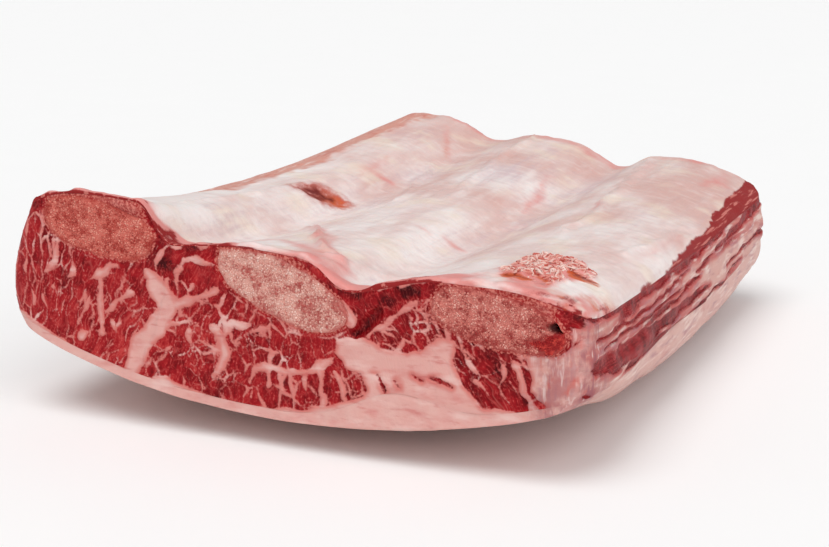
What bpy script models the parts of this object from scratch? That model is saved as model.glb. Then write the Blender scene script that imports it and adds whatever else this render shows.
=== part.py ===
"""Raw beef short ribs: a slab of three rib bones and the meat on them, sawn across both ends.

It lies bone side up, as on a butcher's counter. From the top down it is a tough white membrane, the
three bones set in grooves of the meat, the marbled meat itself, and a cap of hard fat. The ribs run
along Y, from the sawn face in front to the one behind, and curve upwards at both ends as a rib cage
does, so that the slab rests on a small flat spot in the middle of its fat. Sizes are in metres.
"""

import math

import bmesh
import bpy

MM = 0.001

# The slab, seen from above. Its left side swells most in front, and its right side behind.
LENGTH = 256 * MM
HALF_LENGTH = LENGTH / 2
LEFT_EDGE = (-100.5 * MM, -95.5 * MM)  # in front, behind
RIGHT_EDGE = (95.5 * MM, 100.5 * MM)
CORNER_INSET = {"left": 2.5 * MM, "right": 4.5 * MM}  # how far each upright corner is rounded off
CORNER_SPREAD = 22  # the higher, the tighter the corner
SIDE_SWELL = {"left": (10.5 * MM, 4.0 * MM), "right": (2.5 * MM, 4.5 * MM)}  # drawn in at the top, foot
WIDEST = 0.3  # of the height
SIDE_ROLL = {"left": 4.0 * MM, "right": 1.5 * MM}  # how far the top rounds down at each side
ROLL_WIDTH = 5.0 * MM

# The bone side: flat on the right, climbing to the left, and dished along the ribs.
TOP_LEVEL = 50.0 * MM
CLIMB = 0.135
CLIMB_FROM = 34.0 * MM
CLIMB_BLEND = 12.0 * MM
DISH_MIDDLE = 7.8 * MM
DISH_SLOPE = -0.055
DISH_SKEW = 0.65  # under 1 puts the lowest point nearer the front
RIDGE_POWER = 3.0
RIM_ROLL = 1.2 * MM  # the membrane's edge rolls over the saw cut

# The fat side: a shallow bowl, flattened where the slab lies on it.
KEEL_X = 3.0 * MM
KEEL_LIFT = 10.2 * MM  # how far both ends rise
BOWL_LEFT = (1.95, 1.55)  # rise per metre of offset squared, in front and behind
BOWL_RIGHT = (1.7, 0.8)
FLATTENED = 1.2 * MM

# The layers.
GAP = 0.3 * MM  # between pieces that lie on each other
MEMBRANE = 2.2 * MM
CAP = 3.2 * MM
SEAM_PAD = {"x": 38 * MM, "height": 8.0 * MM, "width": 17 * MM}  # the fat swells under the last gap
FLANK_FAT = 11.0 * MM  # the cap thickens towards the cut side on the right
FLANK_FROM, FLANK_TO = 58 * MM, 94 * MM

# Mesh fineness.
ACROSS, ALONG = 30, 16
SIDE_ROWS = 3
BONE_SIDES, BONE_ROWS = 20, 16
CROWDING = 0.3  # how strongly the rows crowd towards the edges

# Each rib: the bone's own oval, where it lies at the front and at the back cut, and the ridge that it
# lifts in the membrane (crest, left flank, right flank, height), also at the front and the back.
RIBS = {
    "rib_bone_left": {
        "centre": (-64.0 * MM, -60.0 * MM),
        "half_width": (21.5 * MM, 20.0 * MM),
        "half_thickness": (8.4 * MM, 8.8 * MM),
        "tilt": (-11.0, -7.0),
        "depth": (10.0 * MM, 9.8 * MM),
        "crest": (-50.0 * MM, -55.0 * MM),
        "left_flank": (47.0 * MM, 24.0 * MM),
        "right_flank": (8.7 * MM, 27.0 * MM),
        "height": (12.9 * MM, 11.5 * MM),
    },
    "rib_bone_middle": {
        "centre": (1.0 * MM, 2.0 * MM),
        "half_width": (22.5 * MM, 20.5 * MM),
        "half_thickness": (8.6 * MM, 8.8 * MM),
        "tilt": (-22.0, -9.0),
        "depth": (10.4 * MM, 9.8 * MM),
        "crest": (6.6 * MM, 3.5 * MM),
        "left_flank": (40.0 * MM, 25.0 * MM),
        "right_flank": (10.7 * MM, 28.0 * MM),
        "height": (8.0 * MM, 11.7 * MM),
    },
    "rib_bone_right": {
        "centre": (69.0 * MM, 60.0 * MM),
        "half_width": (20.0 * MM, 20.5 * MM),
        "half_thickness": (7.8 * MM, 8.6 * MM),
        "tilt": (-11.0, -6.0),
        "depth": (9.0 * MM, 9.6 * MM),
        "crest": (59.7 * MM, 54.0 * MM),
        "left_flank": (28.0 * MM, 14.1 * MM),
        "right_flank": (36.0 * MM, 32.0 * MM),
        "height": (8.4 * MM, 9.7 * MM),
    },
}
BONE_SQUARENESS = 2.4
BONE_CLEARANCE = 0.8 * MM  # between a bone and the membrane on it
GROOVE_CLEARANCE = 0.35 * MM
GROOVE_MOUTH = 4.0 * MM  # how far the groove cutter stands clear of the meat's top


def mix(pair, share):
    """The value that is pair[0] at share 0 and pair[1] at share 1."""
    return pair[0] + (pair[1] - pair[0]) * share


def ease(value):
    """0 below 0, 1 above 1, and a smooth step between."""
    value = min(max(value, 0.0), 1.0)
    return value * value * (3 - 2 * value)


def along(y):
    """0 at the front cut and 1 at the back cut."""
    return min(max(y / LENGTH + 0.5, 0.0), 1.0)


def ridge(rib, x, share):
    """How far a rib lifts the membrane above its bed."""
    offset = x - mix(rib["crest"], share)
    flank = mix(rib["left_flank"] if offset < 0 else rib["right_flank"], share)
    return mix(rib["height"], share) * math.exp(-(abs(offset) / flank) ** RIDGE_POWER)


def top_height(x, y):
    """The bone side's outer surface."""
    share = along(y)
    climb = CLIMB * CLIMB_BLEND * math.log1p(math.exp((CLIMB_FROM - x) / CLIMB_BLEND))
    dish = (DISH_MIDDLE + DISH_SLOPE * x) * math.sin(math.pi * share**DISH_SKEW)
    roll = SIDE_ROLL["left"] * math.exp((mix(LEFT_EDGE, share) - x) / ROLL_WIDTH)
    roll += SIDE_ROLL["right"] * math.exp((x - mix(RIGHT_EDGE, share)) / ROLL_WIDTH)
    return TOP_LEVEL + climb - dish - roll + sum(ridge(rib, x, share) for rib in RIBS.values())


def bottom_height(x, y):
    """The fat side's outer surface, flat where it rests."""
    share = along(y)
    offset = x - KEEL_X
    rise = mix(BOWL_LEFT if offset < 0 else BOWL_RIGHT, share)
    bowl = KEEL_LIFT * (2 * share - 1) ** 2 + rise * offset**2
    return max(0.0, bowl - FLATTENED)


def cap_thickness(x, y):
    """The depth of the fat cap."""
    pad = SEAM_PAD["height"] * math.exp(-(((x - SEAM_PAD["x"]) / SEAM_PAD["width"]) ** 2))
    flank = FLANK_FAT * ease((x - FLANK_FROM) / (FLANK_TO - FLANK_FROM)) * ease(along(y) * 2.5)
    return CAP + pad + flank


def rim_share(across, deep):
    """1 on the rim of the slab and 0 inside it."""
    return max(abs(across), abs(deep)) ** 40


def membrane_top(x, y, across, deep):
    return top_height(x, y) - RIM_ROLL * rim_share(across, deep)


def membrane_under(x, y, across, deep):
    return top_height(x, y) - MEMBRANE


def meat_top(x, y, across, deep):
    return top_height(x, y) - MEMBRANE - GAP


def meat_under(x, y, across, deep):
    return bottom_height(x, y) + cap_thickness(x, y) + GAP


def cap_top(x, y, across, deep):
    return bottom_height(x, y) + cap_thickness(x, y)


def cap_under(x, y, across, deep):
    return bottom_height(x, y)


def crowd(unit):
    """Moves -1..1 onto itself so that evenly spaced rows crowd towards both ends."""
    return (1 - CROWDING) * unit + CROWDING * math.sin(math.pi * unit / 2)


def corner_inset(across, deep):
    """How far the rounded corners pull in a point, across and deep being its place in -1..1."""
    return CORNER_INSET["left" if across < 0 else "right"] * abs(across * deep) ** CORNER_SPREAD


def plan_point(across, deep):
    """The point of the slab's outline and of the field inside it, for across and deep in -1..1."""
    y = HALF_LENGTH * deep
    share = along(y)
    left, right = mix(LEFT_EDGE, share), mix(RIGHT_EDGE, share)
    corner = corner_inset(across, deep)
    x = (left + right) / 2 + (right - left) / 2 * across
    return x - math.copysign(corner, across), y - math.copysign(corner, deep)


def place_across(x, y):
    """Where x lies between the slab's two sides, in -1..1."""
    share = along(y)
    left, right = mix(LEFT_EDGE, share), mix(RIGHT_EDGE, share)
    return (2 * x - left - right) / (right - left)


def drawn_in(x, y, height, across):
    """How far a side stands in from its widest line, at this height. It fades to nothing inside."""
    low, high = bottom_height(x, y), top_height(x, y)
    share = (height - low) / (high - low)
    top, foot = SIDE_SWELL["left" if across < 0 else "right"]
    if share > WIDEST:
        inset = top * ((share - WIDEST) / (1 - WIDEST)) ** 2
    else:
        inset = foot * ((WIDEST - share) / WIDEST) ** 2
    return -math.copysign(inset * across**14, across)


def material(name, colour, roughness, metallic=0.0):
    """A Principled material. The colour is linear."""
    made = bpy.data.materials.new(name)
    made.use_nodes = True
    made.diffuse_color = (*colour, 1)
    shader = made.node_tree.nodes["Principled BSDF"]
    shader.inputs["Base Color"].default_value = (*colour, 1)
    shader.inputs["Roughness"].default_value = roughness
    shader.inputs["Metallic"].default_value = metallic
    return made


def object_from(bm, name, collection, finish=None):
    """Turns a bmesh into a named object, with its normals pointing out."""
    bmesh.ops.recalc_face_normals(bm, faces=bm.faces[:])
    if bm.calc_volume(signed=True) < 0:
        bmesh.ops.reverse_faces(bm, faces=bm.faces[:])
    mesh = bpy.data.meshes.new(name)
    bm.to_mesh(mesh)
    bm.free()
    made = bpy.data.objects.new(name, mesh)
    collection.objects.link(made)
    if finish:
        mesh.materials.append(finish)
    mesh.shade_smooth()
    mesh.set_sharp_from_angle(angle=math.radians(50))
    return made


def make_layer(name, collection, finish, under, top, rows=0):
    """One layer of the slab: a flat grid, extruded into a plate, then carried to its two surfaces.

    Layers share one grid, cut into the same triangles, so two that lie on each other stay GAP apart.
    """
    bm = bmesh.new()
    bmesh.ops.create_grid(bm, x_segments=ACROSS, y_segments=ALONG, size=1)
    bmesh.ops.triangulate(bm, faces=bm.faces[:], quad_method="FIXED")
    plate = bmesh.ops.extrude_face_region(bm, geom=bm.faces[:], use_keep_orig=True)
    for vertex in plate["geom"]:
        if isinstance(vertex, bmesh.types.BMVert):
            vertex.co.z = 1
    if rows:
        uprights = [e for e in bm.edges if abs(e.verts[0].co.z - e.verts[1].co.z) > 0.5]
        bmesh.ops.subdivide_edges(bm, edges=uprights, cuts=rows)
    for vertex in bm.verts:
        across, deep, level = crowd(vertex.co.x), crowd(vertex.co.y), vertex.co.z
        x, y = plan_point(across, deep)
        z = mix((under(x, y, across, deep), top(x, y, across, deep)), level)
        vertex.co = (x + drawn_in(x, y, z, across), y, z)
    return object_from(bm, name, collection, finish)


def bone_point(rib, angle, y, grown=0.0):
    """A point of a bone's surface: its oval section, tilted, and flattened under the membrane."""
    share = along(y)
    half_width = mix(rib["half_width"], share) + grown
    half_thickness = mix(rib["half_thickness"], share) + grown
    tilt = math.radians(mix(rib["tilt"], share))
    power = 2 / BONE_SQUARENESS
    wide = half_width * math.copysign(abs(math.cos(angle)) ** power, math.cos(angle))
    thick = half_thickness * math.copysign(abs(math.sin(angle)) ** power, math.sin(angle))
    centre_x = mix(rib["centre"], share)
    centre_z = top_height(centre_x, y) - MEMBRANE - mix(rib["depth"], share)
    x = centre_x + wide * math.cos(tilt) - thick * math.sin(tilt)
    z = centre_z + wide * math.sin(tilt) + thick * math.cos(tilt)
    return x, z


def make_bone(name, rib, collection, finish=None, cutter=False):
    """A bar of bone: a capped cylinder, cut into rows and carried along the rib.

    As a cutter it is a little larger, one row longer at each end, and open through the meat's top.
    """
    grown = GROOVE_CLEARANCE if cutter else 0.0
    rows = BONE_ROWS + (2 if cutter else 0)
    half_run = HALF_LENGTH * rows / BONE_ROWS
    bm = bmesh.new()
    bmesh.ops.create_cone(bm, cap_ends=True, segments=BONE_SIDES, radius1=1, radius2=1, depth=2)
    lengthwise = [e for e in bm.edges if abs(e.verts[0].co.z - e.verts[1].co.z) > 1]
    bmesh.ops.subdivide_edges(bm, edges=lengthwise, cuts=rows - 1)
    for vertex in bm.verts:
        angle, deep = math.atan2(vertex.co.y, vertex.co.x), vertex.co.z
        y = half_run * deep
        x, z = bone_point(rib, angle, y, grown)
        if not cutter:
            y -= math.copysign(corner_inset(place_across(x, y), deep), deep)
        roof = top_height(x, y) - MEMBRANE - BONE_CLEARANCE
        if z > roof:
            z = roof + (GROOVE_MOUTH if cutter else 0.0)
        vertex.co = (x, y, z)
    made = object_from(bm, name, collection, finish)
    if cutter:
        made.hide_render = True
        made.display_type = "WIRE"
    return made


def cut(target, cutter):
    """Cuts one object out of another with a Boolean."""
    modifier = target.modifiers.new("Cut " + cutter.name, "BOOLEAN")
    modifier.operation = "DIFFERENCE"
    modifier.solver = "EXACT"
    modifier.object = cutter


def main():
    for old in list(bpy.data.objects):
        bpy.data.objects.remove(old, do_unlink=True)
    slab = bpy.data.collections.new("Raw beef short ribs")
    cutters = bpy.data.collections.new("Cutters")
    for collection in (slab, cutters):
        bpy.context.scene.collection.children.link(collection)

    muscle = material("Marbled muscle", (0.38, 0.03, 0.035), 0.4)
    hard_fat = material("Hard fat", (0.72, 0.46, 0.4), 0.5)
    pleura = material("Rib membrane", (0.8, 0.68, 0.64), 0.35)
    sawn_bone = material("Sawn bone", (0.6, 0.32, 0.27), 0.7)

    make_layer("fat_cap", slab, hard_fat, cap_under, cap_top)
    meat = make_layer("meat", slab, muscle, meat_under, meat_top, rows=SIDE_ROWS)
    make_layer("membrane", slab, pleura, membrane_under, membrane_top)
    for name, rib in RIBS.items():
        make_bone(name, rib, slab, sawn_bone)
        cut(meat, make_bone(name + "_groove", rib, cutters, cutter=True))


main()
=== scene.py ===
"""The looks of a slab of raw beef short ribs: three rib bones, the marbled meat on them, the white
membrane over the bone side and the fat under the meat. Lengths are in metres."""

import itertools
import math

import bmesh
import bpy
import numpy as np
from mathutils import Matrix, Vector
from mathutils.geometry import delaunay_2d_cdt


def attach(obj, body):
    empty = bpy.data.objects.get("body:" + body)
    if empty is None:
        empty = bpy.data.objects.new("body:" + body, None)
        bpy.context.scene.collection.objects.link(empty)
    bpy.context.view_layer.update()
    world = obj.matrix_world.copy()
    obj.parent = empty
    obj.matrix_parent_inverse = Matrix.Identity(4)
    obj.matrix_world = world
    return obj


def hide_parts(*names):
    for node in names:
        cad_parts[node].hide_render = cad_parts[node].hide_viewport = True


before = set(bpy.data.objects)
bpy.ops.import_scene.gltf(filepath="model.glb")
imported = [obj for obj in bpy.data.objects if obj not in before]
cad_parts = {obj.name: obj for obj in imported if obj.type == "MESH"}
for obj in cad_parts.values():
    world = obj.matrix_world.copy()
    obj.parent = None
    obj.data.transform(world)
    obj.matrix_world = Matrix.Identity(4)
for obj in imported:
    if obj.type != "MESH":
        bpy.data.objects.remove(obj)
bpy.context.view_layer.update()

# ---------------------------------------------------------------------------------------------------
# The meat. A block of muscle with cream fat running through it, sawn off square in front and behind.
# The slab bends with the rib cage: its bone side is ridged and dished and its fat side is a bowl, and
# each rib lies in a tunnel of the meat. Marbling follows the muscle fibres, so it runs front to back.

MM = 0.001
LENGTH = 256 * MM
HALF_LENGTH = LENGTH / 2
LEFT_EDGE = (-100.5 * MM, -95.5 * MM)  # in front, behind
RIGHT_EDGE = (95.5 * MM, 100.5 * MM)
CORNER_INSET = (2.5 * MM, 4.5 * MM)  # left, right
CORNER_SPREAD, CORNER_FADE, DRAWN_FADE = 22, 8, 6
TOP_DRAWN_IN = (10.5 * MM, 2.5 * MM)
FOOT_DRAWN_IN = (4.0 * MM, 4.5 * MM)
WIDEST = 0.3
SIDE_ROLL = (4.0 * MM, 3.0 * MM)
ROLL_WIDTH = 5.0 * MM

TOP_LEVEL = 50.0 * MM
CLIMB, CLIMB_FROM, CLIMB_BLEND = 0.135, 34.0 * MM, 12.0 * MM
DISH_MIDDLE, DISH_SLOPE, DISH_SKEW = 7.8 * MM, -0.055, 0.65
KEEL_X, KEEL_LIFT, FLATTENED = 3.0 * MM, 10.2 * MM, 1.2 * MM
BOWL_LEFT, BOWL_RIGHT = (1.95, 1.55), (1.7, 0.8)

GAP = 0.02 * MM
MEMBRANE = 2.2 * MM
CAP = 3.2 * MM
PAD_X, PAD_HEIGHT, PAD_WIDTH = 38 * MM, 8.0 * MM, 17 * MM
FLANK_FAT, FLANK_FROM, FLANK_TO = 11.0 * MM, 58 * MM, 94 * MM

RIBS = {
    "rib_bone_left": {
        "centre": (-64.0 * MM, -60.0 * MM),
        "half_width": (21.5 * MM, 20.0 * MM),
        "half_thickness": (8.4 * MM, 8.8 * MM),
        "tilt": (-11.0, -7.0),
        "depth": (10.0 * MM, 9.8 * MM),
        "crest": (-50.0 * MM, -55.0 * MM),
        "left_flank": (47.0 * MM, 24.0 * MM),
        "right_flank": (8.7 * MM, 27.0 * MM),
        "height": (12.9 * MM, 11.5 * MM),
    },
    "rib_bone_middle": {
        "centre": (1.0 * MM, 2.0 * MM),
        "half_width": (22.5 * MM, 20.5 * MM),
        "half_thickness": (8.6 * MM, 8.8 * MM),
        "tilt": (-22.0, -9.0),
        "depth": (10.4 * MM, 9.8 * MM),
        "crest": (6.6 * MM, 3.5 * MM),
        "left_flank": (40.0 * MM, 25.0 * MM),
        "right_flank": (10.7 * MM, 28.0 * MM),
        "height": (8.0 * MM, 11.7 * MM),
    },
    "rib_bone_right": {
        "centre": (69.0 * MM, 60.0 * MM),
        "half_width": (20.0 * MM, 20.5 * MM),
        "half_thickness": (7.8 * MM, 8.6 * MM),
        "tilt": (-11.0, -6.0),
        "depth": (9.0 * MM, 9.6 * MM),
        "crest": (59.7 * MM, 54.0 * MM),
        "left_flank": (28.0 * MM, 14.1 * MM),
        "right_flank": (36.0 * MM, 32.0 * MM),
        "height": (8.4 * MM, 9.7 * MM),
    },
}
BONE_SQUARENESS = 2.4
BONE_UNEVEN = [(3, 0.3 * MM), (5, 0.22 * MM), (11, 0.14 * MM), (19, 0.1 * MM)]  # waves round it, height
BONE_CLEARANCE = 0.8 * MM
SHARP_ANGLE = math.radians(50)
INSIDE_ONLY, SAME_PLACE = 1, 1e-8  # fill only what the outlines hold, and when two of its points are one
WELD = 2e-6  # points of two patches that lie this near are one
SEED_SHIFT = 17.31  # sets the lumps of one seed away from those of the next


def mix(pair, share):
    """The value that is pair[0] at share 0 and pair[1] at share 1."""
    return pair[0] + (pair[1] - pair[0]) * share


def ease(value):
    """0 below 0, 1 above 1, and a smooth step between."""
    value = np.clip(value, 0, 1)
    return value * value * (3 - 2 * value)


def along(y):
    """0 at the front cut and 1 at the back cut."""
    return np.clip(y / LENGTH + 0.5, 0, 1)


def top_height(x, y):
    """The bone side's surface."""
    share = along(y)
    climb = CLIMB * CLIMB_BLEND * np.log1p(np.exp((CLIMB_FROM - x) / CLIMB_BLEND))
    dish = (DISH_MIDDLE + DISH_SLOPE * x) * np.sin(math.pi * share**DISH_SKEW)
    roll = SIDE_ROLL[0] * np.exp((mix(LEFT_EDGE, share) - x) / ROLL_WIDTH)
    roll = roll + SIDE_ROLL[1] * np.exp((x - mix(RIGHT_EDGE, share)) / ROLL_WIDTH)
    height = TOP_LEVEL + climb - dish - roll
    for rib in RIBS.values():
        offset = x - mix(rib["crest"], share)
        flank = np.where(offset < 0, mix(rib["left_flank"], share), mix(rib["right_flank"], share))
        height = height + mix(rib["height"], share) * np.exp(-((np.abs(offset) / flank) ** 3))
    return height


def bottom_height(x, y):
    """The fat side's surface, flat where the slab rests."""
    share = along(y)
    offset = x - KEEL_X
    rise = np.where(offset < 0, mix(BOWL_LEFT, share), mix(BOWL_RIGHT, share))
    return np.maximum(0, KEEL_LIFT * (2 * share - 1) ** 2 + rise * offset**2 - FLATTENED)


def cap_thickness(x, y):
    """The depth of the fat under the meat."""
    pad = PAD_HEIGHT * np.exp(-(((x - PAD_X) / PAD_WIDTH) ** 2))
    flank = FLANK_FAT * ease((x - FLANK_FROM) / (FLANK_TO - FLANK_FROM)) * ease(along(y) * 2.5)
    return CAP + pad + flank


def meat_top(x, y):
    return top_height(x, y) - MEMBRANE - GAP


def meat_under(x, y):
    return bottom_height(x, y) + cap_thickness(x, y) + GAP


def place_across(x, y):
    """Where x lies between the two sides, in -1..1."""
    share = along(y)
    left, right = mix(LEFT_EDGE, share), mix(RIGHT_EDGE, share)
    return (2 * x - left - right) / (right - left)


def spread(count):
    """Places from -1 to 1, closer together near the ends."""
    even = np.linspace(-1, 1, count)
    return 0.75 * even + 0.25 * np.sin(even * math.pi / 2)


def corner_inset(across, deep):
    """How far the upright corners are rounded off, along x and along y."""
    inset = np.where(across < 0, *CORNER_INSET)
    along_x = inset * np.abs(across) ** CORNER_FADE * np.abs(deep) ** CORNER_SPREAD
    along_y = inset * np.abs(across) ** CORNER_SPREAD * np.abs(deep) ** CORNER_FADE
    return along_x, along_y


def drawn_in(x, y, z):
    """x, moved inwards near the top and the foot of the two sides, which makes them swell between."""
    across = place_across(x, y)
    floor, roof = bottom_height(x, y), top_height(x, y)
    rise = (z - floor) / (roof - floor)
    drawn = np.where(across < 0, *TOP_DRAWN_IN) * np.clip((rise - WIDEST) / (1 - WIDEST), 0, None) ** 2
    drawn = drawn + np.where(across < 0, *FOOT_DRAWN_IN) * np.clip((WIDEST - rise) / WIDEST, 0, None) ** 2
    return x - np.sign(across) * drawn * np.abs(across) ** DRAWN_FADE


def drawn_out(x, y, z):
    """The x that drawn_in moved to x."""
    before = x
    for _ in range(6):
        before = x + before - drawn_in(before, y, z)
    return before


def place(across, deep, level, under, top):
    """Points of a layer, for across and deep in -1..1 and level 0 on its underside and 1 on its top."""
    across, deep, level = np.broadcast_arrays(*np.atleast_1d(across, deep, level))
    y = HALF_LENGTH * deep
    share = along(y)
    left, right = mix(LEFT_EDGE, share), mix(RIGHT_EDGE, share)
    inset_x, inset_y = corner_inset(across, deep)
    x = (left + right) / 2 + (right - left) / 2 * across - np.sign(across) * inset_x
    y = y - np.sign(deep) * inset_y
    low, high = under(x, y), top(x, y)
    z = low + (high - low) * level
    return np.stack([drawn_in(x, y, z), y, z], axis=-1).reshape(-1, 3)


def bone_outline(rib, y, sides, grown=0.0):
    """The closed oval of a rib's section at y, tilted and flattened under the membrane."""
    angle = np.linspace(0, 2 * math.pi, sides, endpoint=False)
    share = along(y)
    power = 2 / BONE_SQUARENESS
    turn = rib["centre"][0] / (10 * MM) + 9 * share
    uneven = sum(size * np.sin(waves * angle + waves * turn) for waves, size in BONE_UNEVEN)
    wide, thick = (
        np.sign(wave) * np.abs(wave) ** power * (mix(rib[half], share) + grown + uneven)
        for wave, half in ((np.cos(angle), "half_width"), (np.sin(angle), "half_thickness"))
    )
    tilt = math.radians(mix(rib["tilt"], share))
    centre_x = mix(rib["centre"], share)
    centre_z = top_height(centre_x, y) - MEMBRANE - mix(rib["depth"], share)
    x = centre_x + wide * math.cos(tilt) - thick * math.sin(tilt)
    z = centre_z + wide * math.sin(tilt) + thick * math.cos(tilt)
    set_in = y - np.sign(y) * corner_inset(place_across(x, y), y / HALF_LENGTH)[1]
    roof = top_height(x, set_in) - MEMBRANE - BONE_CLEARANCE + grown
    z = np.minimum(z, roof)
    return np.stack([drawn_in(x, set_in, z), set_in, z], axis=-1)


def grid_faces(rows, columns):
    """The quads of a grid of points, row by row."""
    index = np.arange(rows * columns).reshape(rows, columns)
    quads = [index[:-1, :-1], index[1:, :-1], index[1:, 1:], index[:-1, 1:]]
    return np.stack(quads, axis=-1).reshape(-1, 4).tolist()


def inside(points, loop):
    """Which flat points lie inside a closed loop."""
    found = np.zeros(len(points), bool)
    for (x1, z1), (x2, z2) in zip(loop, np.roll(loop, -1, axis=0)):
        crosses = (z1 > points[:, 1]) != (z2 > points[:, 1])
        reach = x1 + (x2 - x1) * (points[:, 1] - z1) / (z2 - z1 + 1e-15)
        found ^= crosses & (points[:, 0] < reach)
    return found


def fill(loops, inner, flat):
    """Triangles inside loops[0] and outside the other loops, through the inner points. flat names the
    two coordinates in which the region is spread out."""
    points = np.concatenate([*loops, inner])
    starts = np.cumsum([0] + [len(loop) for loop in loops])
    edges = []
    for start, loop in zip(starts, loops):
        count = len(loop)
        edges += [(start + i, start + (i + 1) % count) for i in range(count)]
    laid_flat = [Vector(point) for point in points[:, flat].tolist()]
    _, _, faces, origins, *_ = delaunay_2d_cdt(laid_flat, edges, [], INSIDE_ONLY, SAME_PLACE)
    points, faces = points[[origin[0] for origin in origins]], np.array(faces)
    middles = points[faces][:, :, flat].mean(axis=1)
    for loop in loops[1:]:
        outside = ~inside(middles, loop[:, flat])
        faces, middles = faces[outside], middles[outside]
    return points, faces.tolist()


def joined(name, patches):
    """One closed mesh object from patches of points and faces whose borders meet point for point."""
    points = np.concatenate([patch[0] for patch in patches])
    faces = []
    start = 0
    for patch_points, patch_faces in patches:
        faces += [[i + start for i in face] for face in patch_faces]
        start += len(patch_points)
    mesh = bpy.data.meshes.new(name)
    mesh.from_pydata(points.tolist(), [], faces)
    bm = bmesh.new()
    bm.from_mesh(mesh)
    bmesh.ops.remove_doubles(bm, verts=bm.verts, dist=WELD)
    bmesh.ops.recalc_face_normals(bm, faces=bm.faces)
    if bm.calc_volume(signed=True) < 0:
        bmesh.ops.reverse_faces(bm, faces=bm.faces)
    open_edges = sum(not edge.is_manifold for edge in bm.edges)
    if open_edges:
        raise ValueError(f"{name} has {open_edges} open edges")
    bm.to_mesh(mesh)
    bm.free()
    mesh.shade_smooth()
    mesh.set_sharp_from_angle(angle=SHARP_ANGLE)
    made = bpy.data.objects.new(name, mesh)
    bpy.context.scene.collection.objects.link(made)
    return made


def coordinates(mesh):
    """The mesh's points and their normals."""
    points, normals = np.empty(len(mesh.vertices) * 3), np.empty(len(mesh.vertices) * 3)
    mesh.vertices.foreach_get("co", points)
    mesh.vertex_normals.foreach_get("vector", normals)
    return points.reshape(-1, 3), normals.reshape(-1, 3)


def move(mesh, points):
    mesh.vertices.foreach_set("co", points.ravel())
    mesh.update()


def keep(mesh, **layers):
    """Stores named values or vectors for each point of the mesh."""
    for name, values in layers.items():
        values = np.asarray(values, dtype=np.float32)
        kind, field = ("FLOAT", "value") if values.ndim == 1 else ("FLOAT_VECTOR", "vector")
        mesh.attributes.new(name, kind, "POINT").data.foreach_set(field, values.ravel())


def noise(points, size, seed):
    """Smooth lumps in -1..1, about size millimetres across, which may differ along x, y and z."""
    p = points / (np.asarray(size) * MM) + seed * SEED_SHIFT
    cell = np.floor(p).astype(np.int64)
    f = p - cell
    f = f * f * f * (f * (f * 6 - 15) + 10)
    total = np.zeros(len(p))
    for corner in itertools.product((0, 1), repeat=3):
        weight = np.prod(np.where(corner, f, 1 - f), axis=1)
        total += weight * scatter_value(cell + corner, seed)
    return 2 * total - 1


def scatter_value(cell, seed):
    """A repeatable random value in 0..1 for each whole-numbered cell."""
    n = cell[..., 0] * 73856093 ^ cell[..., 1] * 19349663 ^ cell[..., 2] * 83492791 ^ (seed * 2654435761)
    n = (n ^ (n >> 13)) * 1274126177 & 0x7FFFFFFF
    n = (n ^ (n >> 15)) * 668265263 & 0x7FFFFFFF
    return (n ^ (n >> 12) & 0xFFFF) % 65536 / 65536


def rough(points, size, seed):
    """Lumps with finer lumps on them."""
    total = sum(noise(points, np.asarray(size) / 2**i, seed + i) / 2**i for i in range(3))
    return total / 1.5


def cells(u, v, long=1.0, seed=0):
    """Distance to the nearest border between scattered cells of unit size, and each cell's own value.
    A cell is long times as long along u as across it."""

    def numbered(iu, iv):
        return np.stack([iu, iv, np.full_like(iu, seed)], axis=-1).astype(np.int64)

    def centre(iu, iv):
        key = numbered(iu, iv)
        return iu + 0.1 + 0.8 * scatter_value(key, 1), iv + 0.1 + 0.8 * scatter_value(key, 2)

    own_u, own_v = np.floor(u), np.floor(v)
    best = np.full(len(u), np.inf)
    near_u, near_v, near_i, near_j = (np.zeros(len(u)) for _ in range(4))
    for du, dv in itertools.product((-1, 0, 1), repeat=2):
        su, sv = centre(own_u + du, own_v + dv)
        far = (su - u) ** 2 + (sv - v) ** 2
        closer = far < best
        best = np.where(closer, far, best)
        near_u, near_v = np.where(closer, su, near_u), np.where(closer, sv, near_v)
        near_i, near_j = np.where(closer, own_u + du, near_i), np.where(closer, own_v + dv, near_j)
    border = np.full(len(u), np.inf)
    for du, dv in itertools.product((-2, -1, 0, 1, 2), repeat=2):
        if (du, dv) == (0, 0):
            continue
        su, sv = centre(near_i + du, near_j + dv)
        gap_u, gap_v = su - near_u, sv - near_v
        middle_u, middle_v = (su + near_u) / 2 - u, (sv + near_v) / 2 - v
        gap = (middle_u * gap_u + middle_v * gap_v) / np.hypot(gap_u / long, gap_v)
        border = np.minimum(border, gap)
    return border, scatter_value(numbered(near_i, near_j), 5)


def read_off(places, table, column=1):
    """What a table of places and their values says for each place."""
    return np.interp(places, [row[0] for row in table], [row[column] for row in table])


def strand(x, z, points):
    """How deep inside a strand each place lies. points are (x, z, half width) along its middle."""
    depth = np.full(len(x), -np.inf)
    for (x1, z1, w1), (x2, z2, w2) in zip(points, points[1:]):
        run = (x2 - x1) ** 2 + (z2 - z1) ** 2
        t = np.clip(((x - x1) * (x2 - x1) + (z - z1) * (z2 - z1)) / run, 0, 1)
        reach = np.hypot(x - x1 - t * (x2 - x1), z - z1 - t * (z2 - z1))
        depth = np.maximum(depth, w1 + (w2 - w1) * t - reach)
    return depth


def patch_depth(x, z, outline):
    """How deep inside a closed outline each place lies, negative outside it."""
    loop = np.array(outline, float)
    rim = [(*point, 0.0) for point in [*outline, outline[0]]]
    away = -strand(x, z, rim)
    return np.where(inside(np.stack([x, z], axis=-1), loop), away, -away)


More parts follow.
